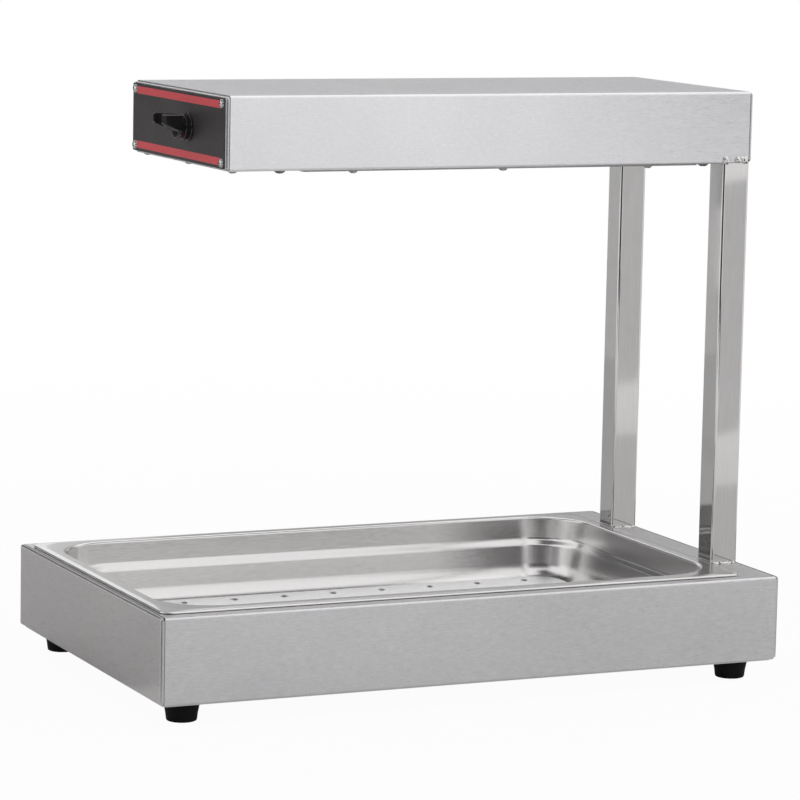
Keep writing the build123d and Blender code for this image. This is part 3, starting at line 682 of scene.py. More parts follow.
def rounded_path(corners: Sequence[Point], steps: int) -> list[Pair]:
    """Flat path through corners, each rounded by its own radius.

    Args:
        corners: Along, up and radius of each corner; the ends have radius 0.
        steps: Straight pieces in each arc.

    Returns:
        The points of the path.
    """
    path = [corners[0][:2]]
    for before, corner, after in zip(corners, corners[1:], corners[2:]):
        point = Vector(corner[:2])
        way_in = (Vector(before[:2]) - point).normalized()
        way_out = (Vector(after[:2]) - point).normalized()
        half_angle = way_in.angle(way_out) / 2
        middle = point + (way_in + way_out).normalized() * corner[2] / math.sin(half_angle)
        tangent = corner[2] / math.tan(half_angle)
        start = point + way_in * tangent - middle
        end = point + way_out * tangent - middle
        turn = start.angle_signed(end)
        for step in range(steps + 1):
            path.append(tuple(middle + Matrix.Rotation(-turn * step / steps, 2) @ start))
    path.append(corners[-1][:2])
    return path


def add_skin(shape: bmesh.types.BMesh, loops: Sequence[Sequence[Point]], capped: bool) -> None:
    """Join loops of equal length with faces.

    Args:
        shape: The bmesh to add to.
        loops: The loops, in order.
        capped: True closes the last loop with a face.
    """
    rings = [[shape.verts.new(point) for point in loop] for loop in loops]
    for lower, upper in zip(rings, rings[1:]):
        for index in range(len(lower)):
            following = (index + 1) % len(lower)
            shape.faces.new((lower[index], lower[following], upper[following], upper[index]))
    if capped:
        shape.faces.new(rings[-1])


def add_lathe(shape: bmesh.types.BMesh, profile: Sequence[Pair], segments: int) -> None:
    """Turn a profile round the Z axis.

    Args:
        shape: The bmesh to add to.
        profile: Radius and height of each point, from the axis to the axis.
        segments: Faces round the axis.
    """
    angles = [2 * math.pi * index / segments for index in range(segments)]
    loops = [[(radius * math.cos(a), radius * math.sin(a), height) for a in angles]
             for radius, height in profile]
    add_skin(shape, loops, False)


def solid_boxes(node: str) -> list[tuple[Vector, Vector]]:
    """Boxes of the separate solids in a group.

    Args:
        node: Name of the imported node.

    Returns:
        Lowest and highest corner of each solid, sorted by place.
    """
    shape = bmesh.new()
    shape.from_mesh(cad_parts[node].data)
    bmesh.ops.remove_doubles(shape, verts=shape.verts, dist=SAME_POINT)
    waiting = set(shape.verts)
    boxes = []
    while waiting:
        stack = [waiting.pop()]
        group = []
        while stack:
            vert = stack.pop()
            group.append(vert.co.copy())
            near = {edge.other_vert(vert) for edge in vert.link_edges} & waiting
            waiting -= near
            stack.extend(near)
        low = Vector([min(co[i] for co in group) for i in range(3)])
        high = Vector([max(co[i] for co in group) for i in range(3)])
        boxes.append((low, high))
    shape.free()
    return sorted(boxes, key=lambda pair: tuple(round(v, SORT_DIGITS) for v in pair[0]))


# Sub-assemblies

@dataclass
class Base:
    """Folded deck and sides, end panels, bottom plate and feet."""

    palette: Palette
    foot_top: float = 15.5 * MM
    foot_top_edge: float = 0.8 * MM
    foot_waist: float = 13.4 * MM
    foot_waist_height: float = 7.0 * MM
    foot_waist_bend: float = 8.0 * MM
    foot_end: float = 12.5 * MM
    foot_end_edge: float = 1.5 * MM
    foot_height: float = 17.5 * MM
    recess: float = 6.0 * MM
    recess_edge: float = 0.6 * MM
    recess_depth: float = 10.5 * MM
    recess_bend: float = 0.5 * MM
    near_axis: float = 0.1 * MM
    bend_steps: int = 5
    segments: int = 48
    feet: tuple[str, ...] = ("foot_front_left", "foot_rear_left", "foot_front_right", "foot_rear_right")

    def foot_profile(self) -> list[Pair]:
        """Half section of a foot.

        Returns:
            Radius and height, from the top of the recess round the outside to the foot's top.
        """
        corners = [
            (self.near_axis, self.foot_height, 0.0),
            (self.foot_top, self.foot_height, self.foot_top_edge),
            (self.foot_waist, self.foot_waist_height, self.foot_waist_bend),
            (self.foot_end, 0.0, self.foot_end_edge),
            (self.recess, 0.0, self.recess_edge),
            (self.recess, self.recess_depth, self.recess_bend),
            (self.near_axis, self.recess_depth, 0.0),
        ]
        return rounded_path(corners, self.bend_steps)[::-1]

    def build(self) -> None:
        """Make the feet and dress the folded sheets."""
        for name in self.feet:
            low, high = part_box(name)
            shape = bmesh.new()
            add_lathe(shape, self.foot_profile(), self.segments)
            bmesh.ops.holes_fill(shape, edges=[e for e in shape.edges if e.is_boundary], sides=0)
            middle = (low + high) / 2
            place = Matrix.Translation((middle.x, middle.y, low.z))
            mesh = bmesh_to_mesh(shape, name + "_rubber", place)
            role = Role("frame", "foot_rubber", (name,))
            weigh_normals(place_piece(name + "_rubber", mesh, self.palette.material(Palette.RUBBER), role))
        self.palette.dress(Palette.BASE, "base_shell", "base_bottom_plate")
        self.palette.dress(Palette.BASE_END, "base_front_panel", "base_rear_panel")
        self.palette.dress(Palette.PLATED, "foot_washers", "foot_nuts")


@dataclass
class Pan:
    """Gastronorm pan, drawn from one sheet, and the perforated drain plate inside it."""

    palette: Palette
    sheet: float = 0.8 * MM
    rim_corner: float = 9.0 * MM
    rim_bend: float = 1.2 * MM
    rim_gap: float = 0.4 * MM
    crown: float = 0.9 * MM
    crown_width: float = 5.0 * MM
    crown_bend: float = 9.0 * MM
    flange: float = 13.0 * MM
    wall_corner: float = 50.0 * MM
    lip_bend: float = 2.4 * MM
    step_depth: float = 20.5 * MM
    step: float = 2.9 * MM
    step_drop: float = 5.0 * MM
    step_bend: float = 8.0 * MM
    narrowing: float = 4.8 * MM
    floor_bend: float = 24.0 * MM
    draft: float = math.radians(4.0)
    bend_steps: int = 8
    corner_steps: int = 16
    side_runs: int = 24
    drain_sheet: float = 1.0 * MM
    drain_bend: float = 2.2 * MM
    drain_bend_steps: int = 5
    drain_gap: float = 17.0 * MM
    drain_corner_steps: int = 12
    pitch: float = 47.5 * MM
    row_pitch: float = 52.0 * MM
    hole: float = 2.2 * MM
    hole_steps: int = 20
    rows: int = 5
    columns: int = 9

    def floor_inset(self, top: float, floor: float) -> float:
        """Distance in from the rim to the foot of the wall."""
        return self.flange + self.narrowing + (top - floor) * math.tan(self.draft)

    def wall_path(self, top: float, floor: float, rim_end: float) -> list[Pair]:
        """Section from the rim's lower edge over the flange and down the wall to the floor.

        Args:
            top: Height of the flange.
            floor: Height of the floor's upper face.
            rim_end: Height of the rim's lower edge.

        Returns:
            Distance in from the rim, and height.
        """
        ledge = top - self.step_depth
        ledge_inset = self.flange + self.step_depth * math.tan(self.draft)
        floor_inset = self.floor_inset(top, floor)
        corners = [
            (0.0, rim_end, 0.0),
            (0.0, top - self.crown, self.rim_bend),
            (self.crown_width, top, self.crown_bend),
            (self.flange, top, self.lip_bend),
            (ledge_inset, ledge, self.step_bend),
            (ledge_inset + self.step, ledge - self.step_drop, self.step_bend),
            (floor_inset, floor, self.floor_bend),
            (floor_inset + self.floor_bend + self.sheet, floor, 0.0),
        ]
        return rounded_path(corners, self.bend_steps)

    def corner_at(self, inset: float) -> float:
        """Corner radius of the pan's outline, from the rim's small one to the wall's large one.

        Args:
            inset: Distance in from the rim.

        Returns:
            The radius there.
        """
        if inset <= self.rim_bend:
            return self.rim_corner - inset
        wall_start = self.flange - self.lip_bend
        if inset < wall_start:
            share = (inset - self.rim_bend) / (wall_start - self.rim_bend)
            return self.rim_corner + share * (self.wall_corner + self.lip_bend - self.rim_corner)
        return self.wall_corner + self.flange - inset

    def build_pan(self) -> None:
        """Make the pan as one bent skin with its sheet thickness behind it."""
        low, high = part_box("gn_pan")
        half_x = (high.x - low.x) / 2
        half_y = (high.y - low.y) / 2
        middle_y = (high.y + low.y) / 2
        rim_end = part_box("base_shell")[1].z + self.rim_gap
        loops = []
        for inset, height in self.wall_path(high.z, low.z + self.sheet, rim_end):
            loops.append(rounded_loop(half_x - inset, half_y - inset, self.corner_at(inset),
                                      (0.0, middle_y, height), self.corner_steps, self.side_runs))
        shape = bmesh.new()
        add_skin(shape, loops, True)
        mesh = bmesh_to_mesh(shape, "pan_skin")
        role = Role("pan", "pan_stainless", ("gn_pan",))
        pan = place_piece("pan_skin", mesh, self.palette.material(Palette.PAN), role)
        thicken(pan, self.sheet)
        weigh_normals(pan)

    def perforated_sheet(self, width: float, length: float, corner: float) -> bpy.types.Mesh:
        """Flat sheet with a grid of round holes, from a node tree.

        Args:
            width: Size along X.
            length: Size along Y.
            corner: Corner radius.

        Returns:
            The sheet, in the XY plane round the origin.
        """
        tree = GeometryTree("perforated_sheet")
        sizes = {"Width": width, "Length": length, "Corner Radius": corner, "Hole Radius": self.hole,
                 "Pitch": self.pitch, "Row Pitch": self.row_pitch, "Rows": self.rows,
                 "Columns": self.columns, "Metal": self.palette.material(Palette.DRAIN)}
        given = {name: tree.value(name, value) for name, value in sizes.items()}
        outline = tree.made("GeometryNodeCurvePrimitiveQuadrilateral", Width=given["Width"],
                            Height=given["Length"])
        rounded = tree.feed(tree.add("GeometryNodeFilletCurve", mode="POLY"), Curve=outline,
                            Radius=given["Corner Radius"], Count=self.drain_corner_steps)
        span_x = tree.math("MULTIPLY", given["Row Pitch"], tree.math("SUBTRACT", given["Rows"], 1.0))
        span_y = tree.math("MULTIPLY", given["Pitch"], tree.math("SUBTRACT", given["Columns"], 1.0))
        grid = tree.made("GeometryNodeMeshGrid", Size_X=span_x, Size_Y=span_y, Vertices_X=given["Rows"],
                         Vertices_Y=given["Columns"])
        circle = tree.made("GeometryNodeCurvePrimitiveCircle", Resolution=self.hole_steps,
                           Radius=given["Hole Radius"])
        holes = tree.made("GeometryNodeInstanceOnPoints", Points=grid, Instance=circle)
        real = tree.made("GeometryNodeRealizeInstances", Geometry=holes)
        joined = tree.made("GeometryNodeJoinGeometry", Geometry=[rounded, real])
        tree.close(tree.made("GeometryNodeFillCurve", Curve=joined), given["Metal"])
        return tree.run()

    def build_drain_plate(self) -> None:
        """Make the drain plate: perforated sheet with its edge turned down to the pan's floor."""
        low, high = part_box("drain_plate")
        middle = (low + high) / 2
        half_x = (high.x - low.x) / 2 - self.drain_bend
        half_y = (high.y - low.y) / 2 - self.drain_bend
        wall = self.floor_inset(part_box("gn_pan")[1].z, low.z)
        corner = self.wall_corner + self.flange - wall - self.drain_gap - self.drain_bend
        shape = bmesh.new()
        shape.from_mesh(self.perforated_sheet(2 * half_x, 2 * half_y, corner))
        bmesh.ops.remove_doubles(shape, verts=shape.verts, dist=SAME_POINT)
        self.turn_down_edge(shape, half_x, half_y, corner, high.z - low.z)
        bmesh.ops.recalc_face_normals(shape, faces=shape.faces)
        if max(shape.faces, key=lambda face: face.calc_area()).normal.z < 0:
            bmesh.ops.reverse_faces(shape, faces=shape.faces)
        place = Matrix.Translation((middle.x, middle.y, high.z))
        mesh = bmesh_to_mesh(shape, "drain_plate_sheet", place)
        role = Role("drain_plate", "pan_stainless", ("drain_plate",))
        plate = place_piece("drain_plate_sheet", mesh, self.palette.material(Palette.DRAIN), role)
        thicken(plate, self.drain_sheet)
        weigh_normals(plate)

    def turn_down_edge(self, shape: bmesh.types.BMesh, half_x: float, half_y: float, corner: float,
                       height: float) -> None:
        """Bend the sheet's outer edge over and run it down.

        Args:
            shape: The flat sheet, which grows.
            half_x: Half its width.
            half_y: Half its length.
            corner: Its corner radius.
            height: Height of the finished plate.
        """
        core_x = half_x - corner
        core_y = half_y - corner
        rim = [edge for edge in shape.edges if edge.is_boundary]
        ring = [edge for edge in rim if self.near_edge(edge, core_x, core_y)]
        steps = []
        for step in range(1, self.drain_bend_steps + 1):
            angle = step * QUARTER / self.drain_bend_steps
            steps.append((self.drain_bend * math.sin(angle), self.drain_bend * (math.cos(angle) - 1)))
        steps.append((self.drain_bend, -height))
        done = (0.0, 0.0)
        for out, down in steps:
            grown = bmesh.ops.extrude_edge_only(shape, edges=ring)["geom"]
            ring = [item for item in grown if isinstance(item, bmesh.types.BMEdge)]
            moved = [item for item in grown if isinstance(item, bmesh.types.BMVert)]
            for vert in moved:
                away = self.outward(vert.co, core_x, core_y)
                vert.co += away * (out - done[0]) + Vector((0.0, 0.0, down - done[1]))
            done = (out, down)

    @staticmethod
    def near_edge(edge: bmesh.types.BMEdge, core_x: float, core_y: float) -> bool:
        """True for an edge of the outline, false for the edge of a hole."""
        middle = (edge.verts[0].co + edge.verts[1].co) / 2
        return abs(middle.x) > core_x or abs(middle.y) > core_y

    @staticmethod
    def outward(point: Vector, core_x: float, core_y: float) -> Vector:
        """Flat direction out of a rounded rectangle.

        Args:
            point: Point on its edge.
            core_x: Half its width without the corners.
            core_y: Half its length without the corners.

        Returns:
            The direction, of length 1.
        """
        x = math.copysign(max(abs(point.x) - core_x, 0.0), point.x)
        y = math.copysign(max(abs(point.y) - core_y, 0.0), point.y)
        return Vector((x, y, 0.0)).normalized()

    def build(self) -> None:
        """Make the pan and the drain plate."""
        self.build_pan()
        self.build_drain_plate()


@dataclass(frozen=True)
class Weld:
    """One kind of weld: the solids it stands for, and the size, flatness and seed of its blobs."""

    name: str
    node: str
    radius: float
    flat: Point
    seed: int


@dataclass
class Posts:
    """Square posts with their weld beads at the deck and weld spots at the hood."""

    palette: Palette
    posts: tuple[str, ...] = ("post_left", "post_right")
    bead: Weld = Weld("weld_beads", "post_weld_beads", 2.3 * MM, (1.0, 0.9, 0.9), 3)
    bead_rise: float = 0.2 * MM
    # Millimetres from the front edge of a post
    bead_places: tuple[float, ...] = (3.5, 5.5, 8.5, 12.0, 14.0, 15.8, 18.0, 21.5)
    spot: Weld = Weld("weld_spots", "plug_welds", 3.0 * MM, (0.7, 1.0, 1.0), 8)
    spot_rise: float = 3.2 * MM
    # Millimetres from the front edge of a post, and up from the row
    spot_places: tuple[Pair, ...] = (
        (1.6, 0.0), (3.4, -0.7), (13.0, 0.2), (15.2, -0.6), (17.4, 0.5), (20.0, -0.3),
    )
    ball_levels: int = 3
    lumps: float = 700.0
    lump_detail: float = 1.0
    growth: Pair = (0.75, 1.2)
    turns: Pair = (0.0, 6.0)

    def blobs(self, weld: Weld, points: Sequence[Point]) -> bpy.types.Mesh:
        """Row of overlapping weld blobs, from a node tree.

        Args:
            weld: The kind of weld.
            points: Middle of each blob.

        Returns:
            The blobs as one mesh.
        """
        tree = GeometryTree(weld.name)
        size = tree.value("Blob Radius", weld.radius)
        seed = tree.value("Seed", weld.seed)
        metal = tree.value("Metal", self.palette.material(Palette.WELD))
        ball = tree.made("GeometryNodeMeshIcoSphere", Radius=size, Subdivisions=self.ball_levels)
        rough = tree.made("ShaderNodeTexNoise", Scale=self.lumps, Detail=self.lump_detail)
        push = tree.math("MULTIPLY", tree.math("SUBTRACT", rough, NOISE_MIDDLE), size)
        shift = tree.feed(tree.add("ShaderNodeVectorMath", operation="SCALE"),
                          Vector=tree.made("GeometryNodeInputNormal"), Scale=push)
        lumpy = tree.made("GeometryNodeSetPosition", Geometry=ball, Offset=shift)
        grow = tree.chance(*self.growth, seed)
        scale = tree.vector(*(tree.math("MULTIPLY", grow, share) for share in weld.flat))
        turn = tree.vector(tree.chance(*self.turns, seed))
        row = tree.made("GeometryNodeInstanceOnPoints", Points=tree.entry.outputs[0], Instance=lumpy,
                        Scale=scale)
        spun = tree.made("GeometryNodeRotateInstances", Instances=row, Rotation=turn)
        tree.close(tree.smooth(spun, math.pi), metal)
        return tree.run(points)

    def bead_points(self) -> list[Point]:
        """Middles of the beads along both sides of each post, at the deck.

        Returns:
            The points.
        """
        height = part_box("base_shell")[1].z + self.bead_rise
        points = []
        for node in self.posts:
            low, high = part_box(node)
            for x in (low.x, high.x):
                points += [(x, low.y + along * MM, height) for along in self.bead_places]
        return points

    def spot_points(self) -> list[Point]:
        """Middles of the spots on both long sides of the hood, at its lower edge.

        Returns:
            The points.
        """
        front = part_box("post_right")[0].y
        hood_low, hood_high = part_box("hood_shell")
        height = hood_low.z + self.spot_rise
        return [(x, front + along * MM, height + up * MM) for x in (hood_low.x, hood_high.x)
                for along, up in self.spot_places]

    def build(self) -> None:
        """Make the welds and dress the tubes."""
        self.palette.dress(Palette.POST, *self.posts)
        for weld, points in ((self.bead, self.bead_points()), (self.spot, self.spot_points())):
            role = Role("frame", "weld_steel", (weld.node,))
            place_piece(weld.name, self.blobs(weld, points), self.palette.material(Palette.WELD), role)


class HeadSide(Enum):
    """The side that a screw's head lies on; the value is the index of its axis."""

    FRONT = 1
    UNDERSIDE = 2

    def turn(self) -> Point:
        """Turn that brings a head from the top to this side."""
        return (QUARTER * self.value, 0.0, 0.0)


@dataclass(frozen=True)
class ScrewGroup:
    """Equal screws: their solids, finish, head side and a slot name that nothing here uses."""

    node: str
    finish: Metal
    side: HeadSide = HeadSide.UNDERSIDE
    slot: str = "bright_fastener"


@dataclass
class Screws:
    """Pan-head screws, in groups that each come from one node tree; sizes are shares of the head's radius."""

    palette: Palette
    head_height: float = 0.6
    shank: float = 0.5
    slot_length: float = 1.2
    slot_width: float = 0.26
    slot_block: float = 0.9
    slot_rise: float = 0.2
    below: Point = (3.0, 3.0, 2.0)
    segments: int = 24
    rings: int = 12
    shank_segments: int = 16
    groups: tuple[ScrewGroup, ...] = (
        ScrewGroup("fascia_screws", Palette.BRIGHT, HeadSide.FRONT),
        # Heads under the hood take the copy with painted shade
        ScrewGroup("front_cap_screws", Palette.UNDER_HOOD_SHADED),
        ScrewGroup("cover_screws", Palette.UNDER_HOOD_SHADED),
        ScrewGroup("guard_screws", Palette.UNDER_HOOD_SHADED),
        ScrewGroup("bulkhead_screws", Palette.BLACKENED, slot="dark_fastener"),
        ScrewGroup("bottom_plate_screws", Palette.BRIGHT),
        ScrewGroup("foot_screws", Palette.BRIGHT),
    )

    def head(self, tree: GeometryTree, height: Socket) -> Socket:
        """Domed head with a cross slot, flat below.

        Args:
            tree: The screw's tree.
            height: Height of the head.

        Returns:
            The head, standing on the origin.
        """
        ball = tree.made("GeometryNodeMeshUVSphere", Segments=self.segments, Rings=self.rings, Radius=1.0)
        dome = tree.made("GeometryNodeTransform", Geometry=ball, Scale=tree.vector(1.0, 1.0, height))
        under = tree.made("GeometryNodeMeshCube", Size=self.below)
        lowered = tree.made("GeometryNodeTransform", Geometry=under,
                            Translation=(0.0, 0.0, -self.below[2] / 2))
        arms = [tree.made("GeometryNodeMeshCube", Size=(x, y, self.slot_block)) for x, y in (
            (self.slot_length, self.slot_width), (self.slot_width, self.slot_length))]
        cross = tree.made("GeometryNodeJoinGeometry", Geometry=arms)
        rise = tree.vector(z=tree.math("ADD", height, self.slot_rise))
        raised = tree.made("GeometryNodeTransform", Geometry=cross, Translation=rise)
        cut = tree.add("GeometryNodeMeshBoolean", operation="DIFFERENCE", solver="EXACT")
        return tree.feed(cut, Mesh_1=dome, Mesh_2=[lowered, raised])

    def screw_tree(self, group: ScrewGroup, radius: float, length: float, seed: int) -> GeometryTree:
        """Tree that puts a domed, cross-slotted screw on each point.

        Args:
            group: The screws.
            radius: Head radius.
            length: Shank length under the head.
            seed: Seed of the screws' spin.

        Returns:
            The finished tree.
        """
        tree = GeometryTree(group.node + "_heads")
        size = tree.value("Head Radius", radius)
        height = tree.value("Head Height", self.head_height)
        shank = tree.value("Shank Radius", self.shank)
        reach = tree.value("Shank Length", length / radius)
        seed_entry = tree.value("Seed", seed)
        metal = tree.value("Metal", self.palette.material(group.finish))
        rod = tree.made("GeometryNodeMeshCylinder", Vertices=self.shank_segments, Radius=shank, Depth=reach)
        sink = tree.vector(z=tree.math("MULTIPLY", reach, -0.5))
        sunk = tree.made("GeometryNodeTransform", Geometry=rod, Translation=sink)
        screw = tree.made("GeometryNodeJoinGeometry", Geometry=[self.head(tree, height), sunk])
        placed = tree.made("GeometryNodeInstanceOnPoints", Points=tree.entry.outputs[0], Instance=screw,
                           Rotation=group.side.turn(), Scale=size)
        spin = tree.vector(z=tree.chance(0.0, math.pi, seed_entry))
        spun = tree.made("GeometryNodeRotateInstances", Instances=placed, Rotation=spin)
        real = tree.made("GeometryNodeRealizeInstances", Geometry=spun)
        tree.close(tree.smooth(real), metal)
        return tree

    def build(self) -> None:
        """Make every group of screws where its solids are."""
        for seed, group in enumerate(self.groups):
            boxes = solid_boxes(group.node)
            axis = group.side.value
            size = boxes[0][1] - boxes[0][0]
            radius = size.x / 2
            head = radius * self.head_height
            points = []
            for low, high in boxes:
                middle = (low + high) / 2
                middle[axis] = low[axis] + head
                points.append(tuple(middle))
            mesh = self.screw_tree(group, radius, size[axis] - head, seed).run(points)
            role = Role("frame", group.slot, (group.node,))
            place_piece(group.node + "_heads", mesh, self.palette.material(group.finish), role)


@dataclass
class Hood:
    """Folded hood casing, its caps, covers and the printed control panel."""

    palette: Palette

    def build(self) -> None:
        """Dress the casing and the control panel."""
        self.palette.dress(Palette.HOOD, "hood_shell", "control_cover", "rear_cover")
        self.palette.dress(Palette.HOOD_CAP, "hood_front_cap", "hood_rear_cap")
        self.palette.dress(Palette.PANEL, "control_fascia")


@dataclass
class Knob:
    """Turned hub with a wedge-shaped grip, and the switch behind it."""

    palette: Palette

    def build(self) -> None:
        """Dress the knob and the switch."""
        self.palette.dress(Palette.KNOB, "knob")
        self.palette.dress(Palette.SWITCH, "rotary_switch")
        self.palette.dress(Palette.PLATED, "switch_nut", "switch_shaft")


@dataclass
class Heater:
    """Guard, reflector, element and bulkheads inside the hood."""

    palette: Palette
    bar_segments: int = 16

    def guard_bars(self) -> bpy.types.Mesh:
        """Row of round bars across the guard's opening, from a node tree.

        Returns:
            The bars as one mesh.
        """
        bars = solid_boxes("guard_bars")
        low, high = bars[0]
        tree = GeometryTree("guard_bars_row")
        radius = tree.value("Bar Radius", (high.z - low.z) / 2)
        length = tree.value("Bar Length", high.x - low.x)
        count = tree.value("Count", len(bars))
        pitch = tree.value("Pitch", bars[1][0].y - low.y)
        metal = tree.value("Metal", self.palette.material(Palette.GUARD))
        row = tree.made("GeometryNodeMeshLine", Count=count, Start_Location=tuple((low + high) / 2),
                        Offset=tree.vector(y=pitch))
        bar = tree.made("GeometryNodeMeshCylinder", Vertices=self.bar_segments, Radius=radius, Depth=length)
        placed = tree.made("GeometryNodeInstanceOnPoints", Points=row, Instance=bar,
                           Rotation=(0.0, QUARTER, 0.0))
        real = tree.made("GeometryNodeRealizeInstances", Geometry=placed)
        tree.close(tree.smooth(real), metal)
        return tree.run()

    def build(self) -> None:
        """Make the guard's bars and dress the rest."""
        metal = self.palette.material(Palette.GUARD)
        role = Role("frame", "guard_steel", ("guard_bars",))
        place_piece("guard_bar_row", self.guard_bars(), metal, role)
        self.palette.dress(Palette.GUARD, "guard_frame")
        self.palette.dress(Palette.REFLECTOR, "reflector")
        self.palette.dress(Palette.SHEATH, "heating_element")
        self.palette.dress(Palette.INNER, "front_bulkhead", "rear_bulkhead", "element_support")
        self.palette.dress(Palette.BRASS, "element_bushings", "element_nuts")
        self.palette.dress(Palette.CERAMIC, "element_insulators")
        self.palette.dress(Palette.PLATED, "element_pins", "guard_nuts", "bulkhead_nuts")


@dataclass
class Wiring:
    """Terminal block, wires, earth stud and cord gland."""

    palette: Palette

    def build(self) -> None:
        """Dress the wiring."""
        self.palette.dress(Palette.CERAMIC, "terminal_block")
        self.palette.dress(Palette.BRASS, "terminal_screws", "earth_stud", "earth_nut")
        self.palette.dress(Palette.BROWN, "wire_live", "wire_switched")
        self.palette.dress(Palette.BLUE, "wire_neutral")
        self.palette.dress(Palette.GREEN, "wire_earth")
        self.palette.dress(Palette.GROMMET, "wire_grommets")
        self.palette.dress(Palette.SWITCH, "cord_gland", "gland_locknut")


# Studio

def add_sheet(name: str, size: Pair, place: Matrix, material: bpy.types.Material) -> bpy.types.Object:
    """Add a flat rectangle for the studio.

    Args:
        name: Name of the rectangle.
        size: Its width and height.
        place: Its transform out of the XY plane.
        material: Its material.

    Returns:
        The rectangle.
    """
    half_x, half_y = size[0] / 2, size[1] / 2
    mesh = bpy.data.meshes.new(name)
    corners = [(-half_x, -half_y, 0), (half_x, -half_y, 0), (half_x, half_y, 0), (-half_x, half_y, 0)]
    mesh.from_pydata(corners, [], [(0, 1, 2, 3)])
    mesh.transform(place)
    mesh.materials.append(material)
    sheet = bpy.data.objects.new(name, mesh)
    bpy.context.scene.collection.objects.link(sheet)
    return sheet


@dataclass(frozen=True)
class Lamp:
    """One soft rectangular lamp."""

    name: str
    place: Point
    aim: Point
    size: Pair
    power: float
    mirrored: bool

    def build(self) -> None:
        """Add the lamp; one that isn't mirrored leaves polished tops to the white surround."""
        data = bpy.data.lights.new(self.name, "AREA")
        data.shape = "RECTANGLE"
        data.size, data.size_y = self.size
        data.energy = self.power
        lamp = bpy.data.objects.new(self.name, data)
        way = Vector(self.aim) - Vector(self.place)
        turn = way.to_track_quat("-Z", "Y").to_matrix().to_4x4()
        lamp.matrix_world = Matrix.Translation(self.place) @ turn
        lamp.visible_glossy = self.mirrored
        bpy.context.scene.collection.objects.link(lamp)


@dataclass(frozen=True)
class Card:
    """One grey card beside the object, which only reflections see."""

    name: str
    place: Point
    facing: Point
    size: Pair
    grey: float

    def build(self) -> None:
        """Add the card to the stage."""
        tree = ShaderTree(self.name)
        tree.feed(tree.shader, Base_Color=(self.grey, self.grey, self.grey, 1.0), Roughness=1.0)
        turn = Vector(self.facing).to_track_quat("Z", "Y").to_matrix().to_4x4()
        card = add_sheet(self.name, self.size, Matrix.Translation(self.place) @ turn, tree.material)
        card.visible_camera = False
        card.visible_shadow = False
        card.visible_diffuse = False


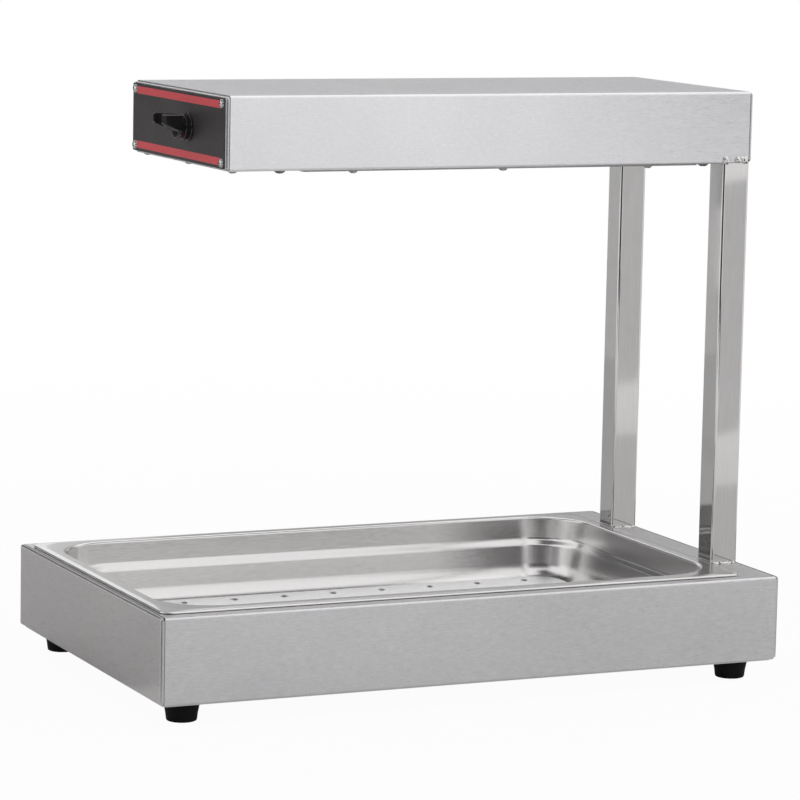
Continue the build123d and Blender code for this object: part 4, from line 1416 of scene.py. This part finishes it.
@dataclass
class Studio:
    """White floor and surround, soft lamps, grey cards and the camera."""

    azimuth: float = math.radians(65.49)
    elevation: float = math.radians(8.096)
    roll: float = math.radians(1.146)
    distance: float = 3.2913
    target: Point = (0.0, 0.0017, 0.2313)
    focal_pixels: float = 3811.94
    picture: float = 800.0
    sensor: float = 36.0
    sight: float = 50.0
    floor_size: float = 14.0
    floor_grey: float = 0.58
    floor_camera: Pair = (0.96, 1.0)
    floor_glossy: Pair = (0.2, 1.0)
    floor_fade: Pair = (0.5, 2.2)
    ambient: float = 0.8
    lamps: tuple[Lamp, ...] = (
        Lamp("key_lamp", (1.5, 1.3, 2.2), (0.0, 0.0, 0.2), (3.6, 3.4), 14.0, False),
        Lamp("top_lamp", (-0.3, 0.2, 2.4), (0.0, 0.0, 0.2), (4.4, 4.4), 9.0, True),
    )
    cards: tuple[Card, ...] = (
        Card("end_floor_card", (-0.5, -0.66, 0.005), UP, (1.1, 0.75), 0.47),
        Card("left_floor_card", (-1.55, -0.5, 0.004), UP, (2.7, 1.4), 0.5),
        Card("side_floor_card", (0.6, 0.5, 0.003), UP, (0.7, 0.7), 0.6),
        Card("left_wall_card", (-1.5, -1.18, 0.72), EAST, (1.06, 0.96), 0.08),
        Card("rim_card", (-1.5, -0.375, 0.81), EAST, (0.55, 0.78), 0.08),
        Card("post_card", (-1.5, -0.375, 0.23), EAST, (0.55, 0.38), 0.76),
        Card("camera_card", (2.16, -0.99, 0.44), (-0.9, 0.41, 0.0), (2.6, 1.8), 0.04),
        Card("rear_floor_card", (-0.05, 0.66, 0.003), UP, (0.5, 0.58), 0.05),
        Card("rear_wall_card", (-0.65, 1.6, 0.3), SOUTH, (0.9, 0.6), 0.05),
        Card("corner_floor_card", (0.38, -0.68, 0.003), UP, (0.35, 0.64), 0.05),
        Card("corner_wall_card", (0.75, -1.6, 0.3), NORTH, (0.8, 0.6), 0.05),
        Card("rear_card", (-1.5, 1.2, 0.95), (0.7, -0.7, -0.1), (2.2, 1.0), 0.58),
        Card("front_top_card", (0.1, -1.15, 1.9), DOWN, (3.6, 1.3), 0.05),
        Card("pan_card", (-1.5, 0.95, 0.2), EAST, (1.2, 0.34), 0.4),
        Card("right_card", (1.3, 0.93, 0.156), (-0.82, 0.57, 0.0), (0.5, 0.312), 0.84),
        Card("hood_card", (1.0, 1.15, 0.47), (-0.7, -0.7, 0.0), (1.0, 0.2), 0.4),
        Card("low_right_card", (1.65, 0.35, 0.1), (-0.9, -0.41, 0.0), (1.0, 0.11), 0.3),
    )

    def build_camera(self) -> None:
        """Put the camera where the photograph was taken from."""
        a, e, r = self.azimuth, self.elevation, self.roll
        back = Vector((math.sin(a) * math.cos(e), -math.cos(a) * math.cos(e), math.sin(e)))
        right = Vector((math.cos(a), math.sin(a), 0.0))
        up = back.cross(right)
        turned_right = right * math.cos(r) + up * math.sin(r)
        turned_up = up * math.cos(r) - right * math.sin(r)
        data = bpy.data.cameras.new("photo_camera")
        data.sensor_width = self.sensor
        data.lens = self.focal_pixels / self.picture * self.sensor
        data.clip_end = self.sight
        camera = bpy.data.objects.new("photo_camera", data)
        place = Matrix((turned_right, turned_up, back)).transposed().to_4x4()
        place.translation = Vector(self.target) + back * self.distance
        camera.matrix_world = place
        bpy.context.scene.collection.objects.link(camera)
        bpy.context.scene.camera = camera

    def build_world(self) -> None:
        """White surround for the rays that show it, which lights the object at the ambient level."""
        world = bpy.data.worlds.new("studio")
        world.use_nodes = True
        bpy.context.scene.world = world
        tree = NodeTree(world.node_tree)
        path = tree.add("ShaderNodeLightPath")
        seen = tree.largest([path.outputs[rays] for rays in SHOWING_RAYS])
        level = tree.made("ShaderNodeMapRange", Value=seen, To_Min=self.ambient, To_Max=1.0)
        tree.feed(world.node_tree.nodes["Background"], Strength=level, Color=WHITE)

    def floor_material(self) -> bpy.types.Material:
        """Matt floor that takes light and shadow, and glows white to the rays that show it.

        Returns:
            The material.
        """
        tree = ShaderTree("white_floor", "ShaderNodeMixShader")
        matt = tree.made("ShaderNodeBsdfDiffuse", Color=(self.floor_grey,) * 3 + (1.0,))
        glow = tree.made("ShaderNodeEmission")
        away = tree.add("ShaderNodeVectorMath", operation="LENGTH")
        tree.put(tree.coords, away.inputs[0])
        path = tree.add("ShaderNodeLightPath")
        shares = []
        for rays, levels in zip(SHOWING_RAYS, (self.floor_camera, self.floor_glossy, self.floor_glossy)):
            fade = tree.made("ShaderNodeMapRange", Value=away.outputs["Value"],
                             From_Min=self.floor_fade[0], From_Max=self.floor_fade[1],
                             To_Min=levels[0], To_Max=levels[1])
            shares.append(tree.math("MULTIPLY", path.outputs[rays], fade))
        for value, entry in zip((tree.largest(shares), matt, glow), tree.shader.inputs):
            tree.put(value, entry)
        return tree.material

    def build_floor(self) -> None:
        """White floor that keeps a faint shadow."""
        floor = add_sheet("floor", (self.floor_size, self.floor_size), Matrix(), self.floor_material())

    def build(self) -> None:
        """Make the whole studio."""
        bpy.context.scene.view_settings.view_transform = "Standard"
        self.build_camera()
        self.build_world()
        self.build_floor()
        for item in self.lamps + self.cards:
            item.build()


def main() -> None:
    """Build the studio and every sub-assembly in order."""
    logging.basicConfig(level=logging.INFO, format="%(name)s %(message)s")
    palette = Palette()
    Studio().build()
    for assembly in (Base, Pan, Posts, Hood, Knob, Heater, Wiring, Screws):
        LOG.info("building %s", assembly.__name__)
        assembly(palette).build()


if __name__ == "__main__":
    main()
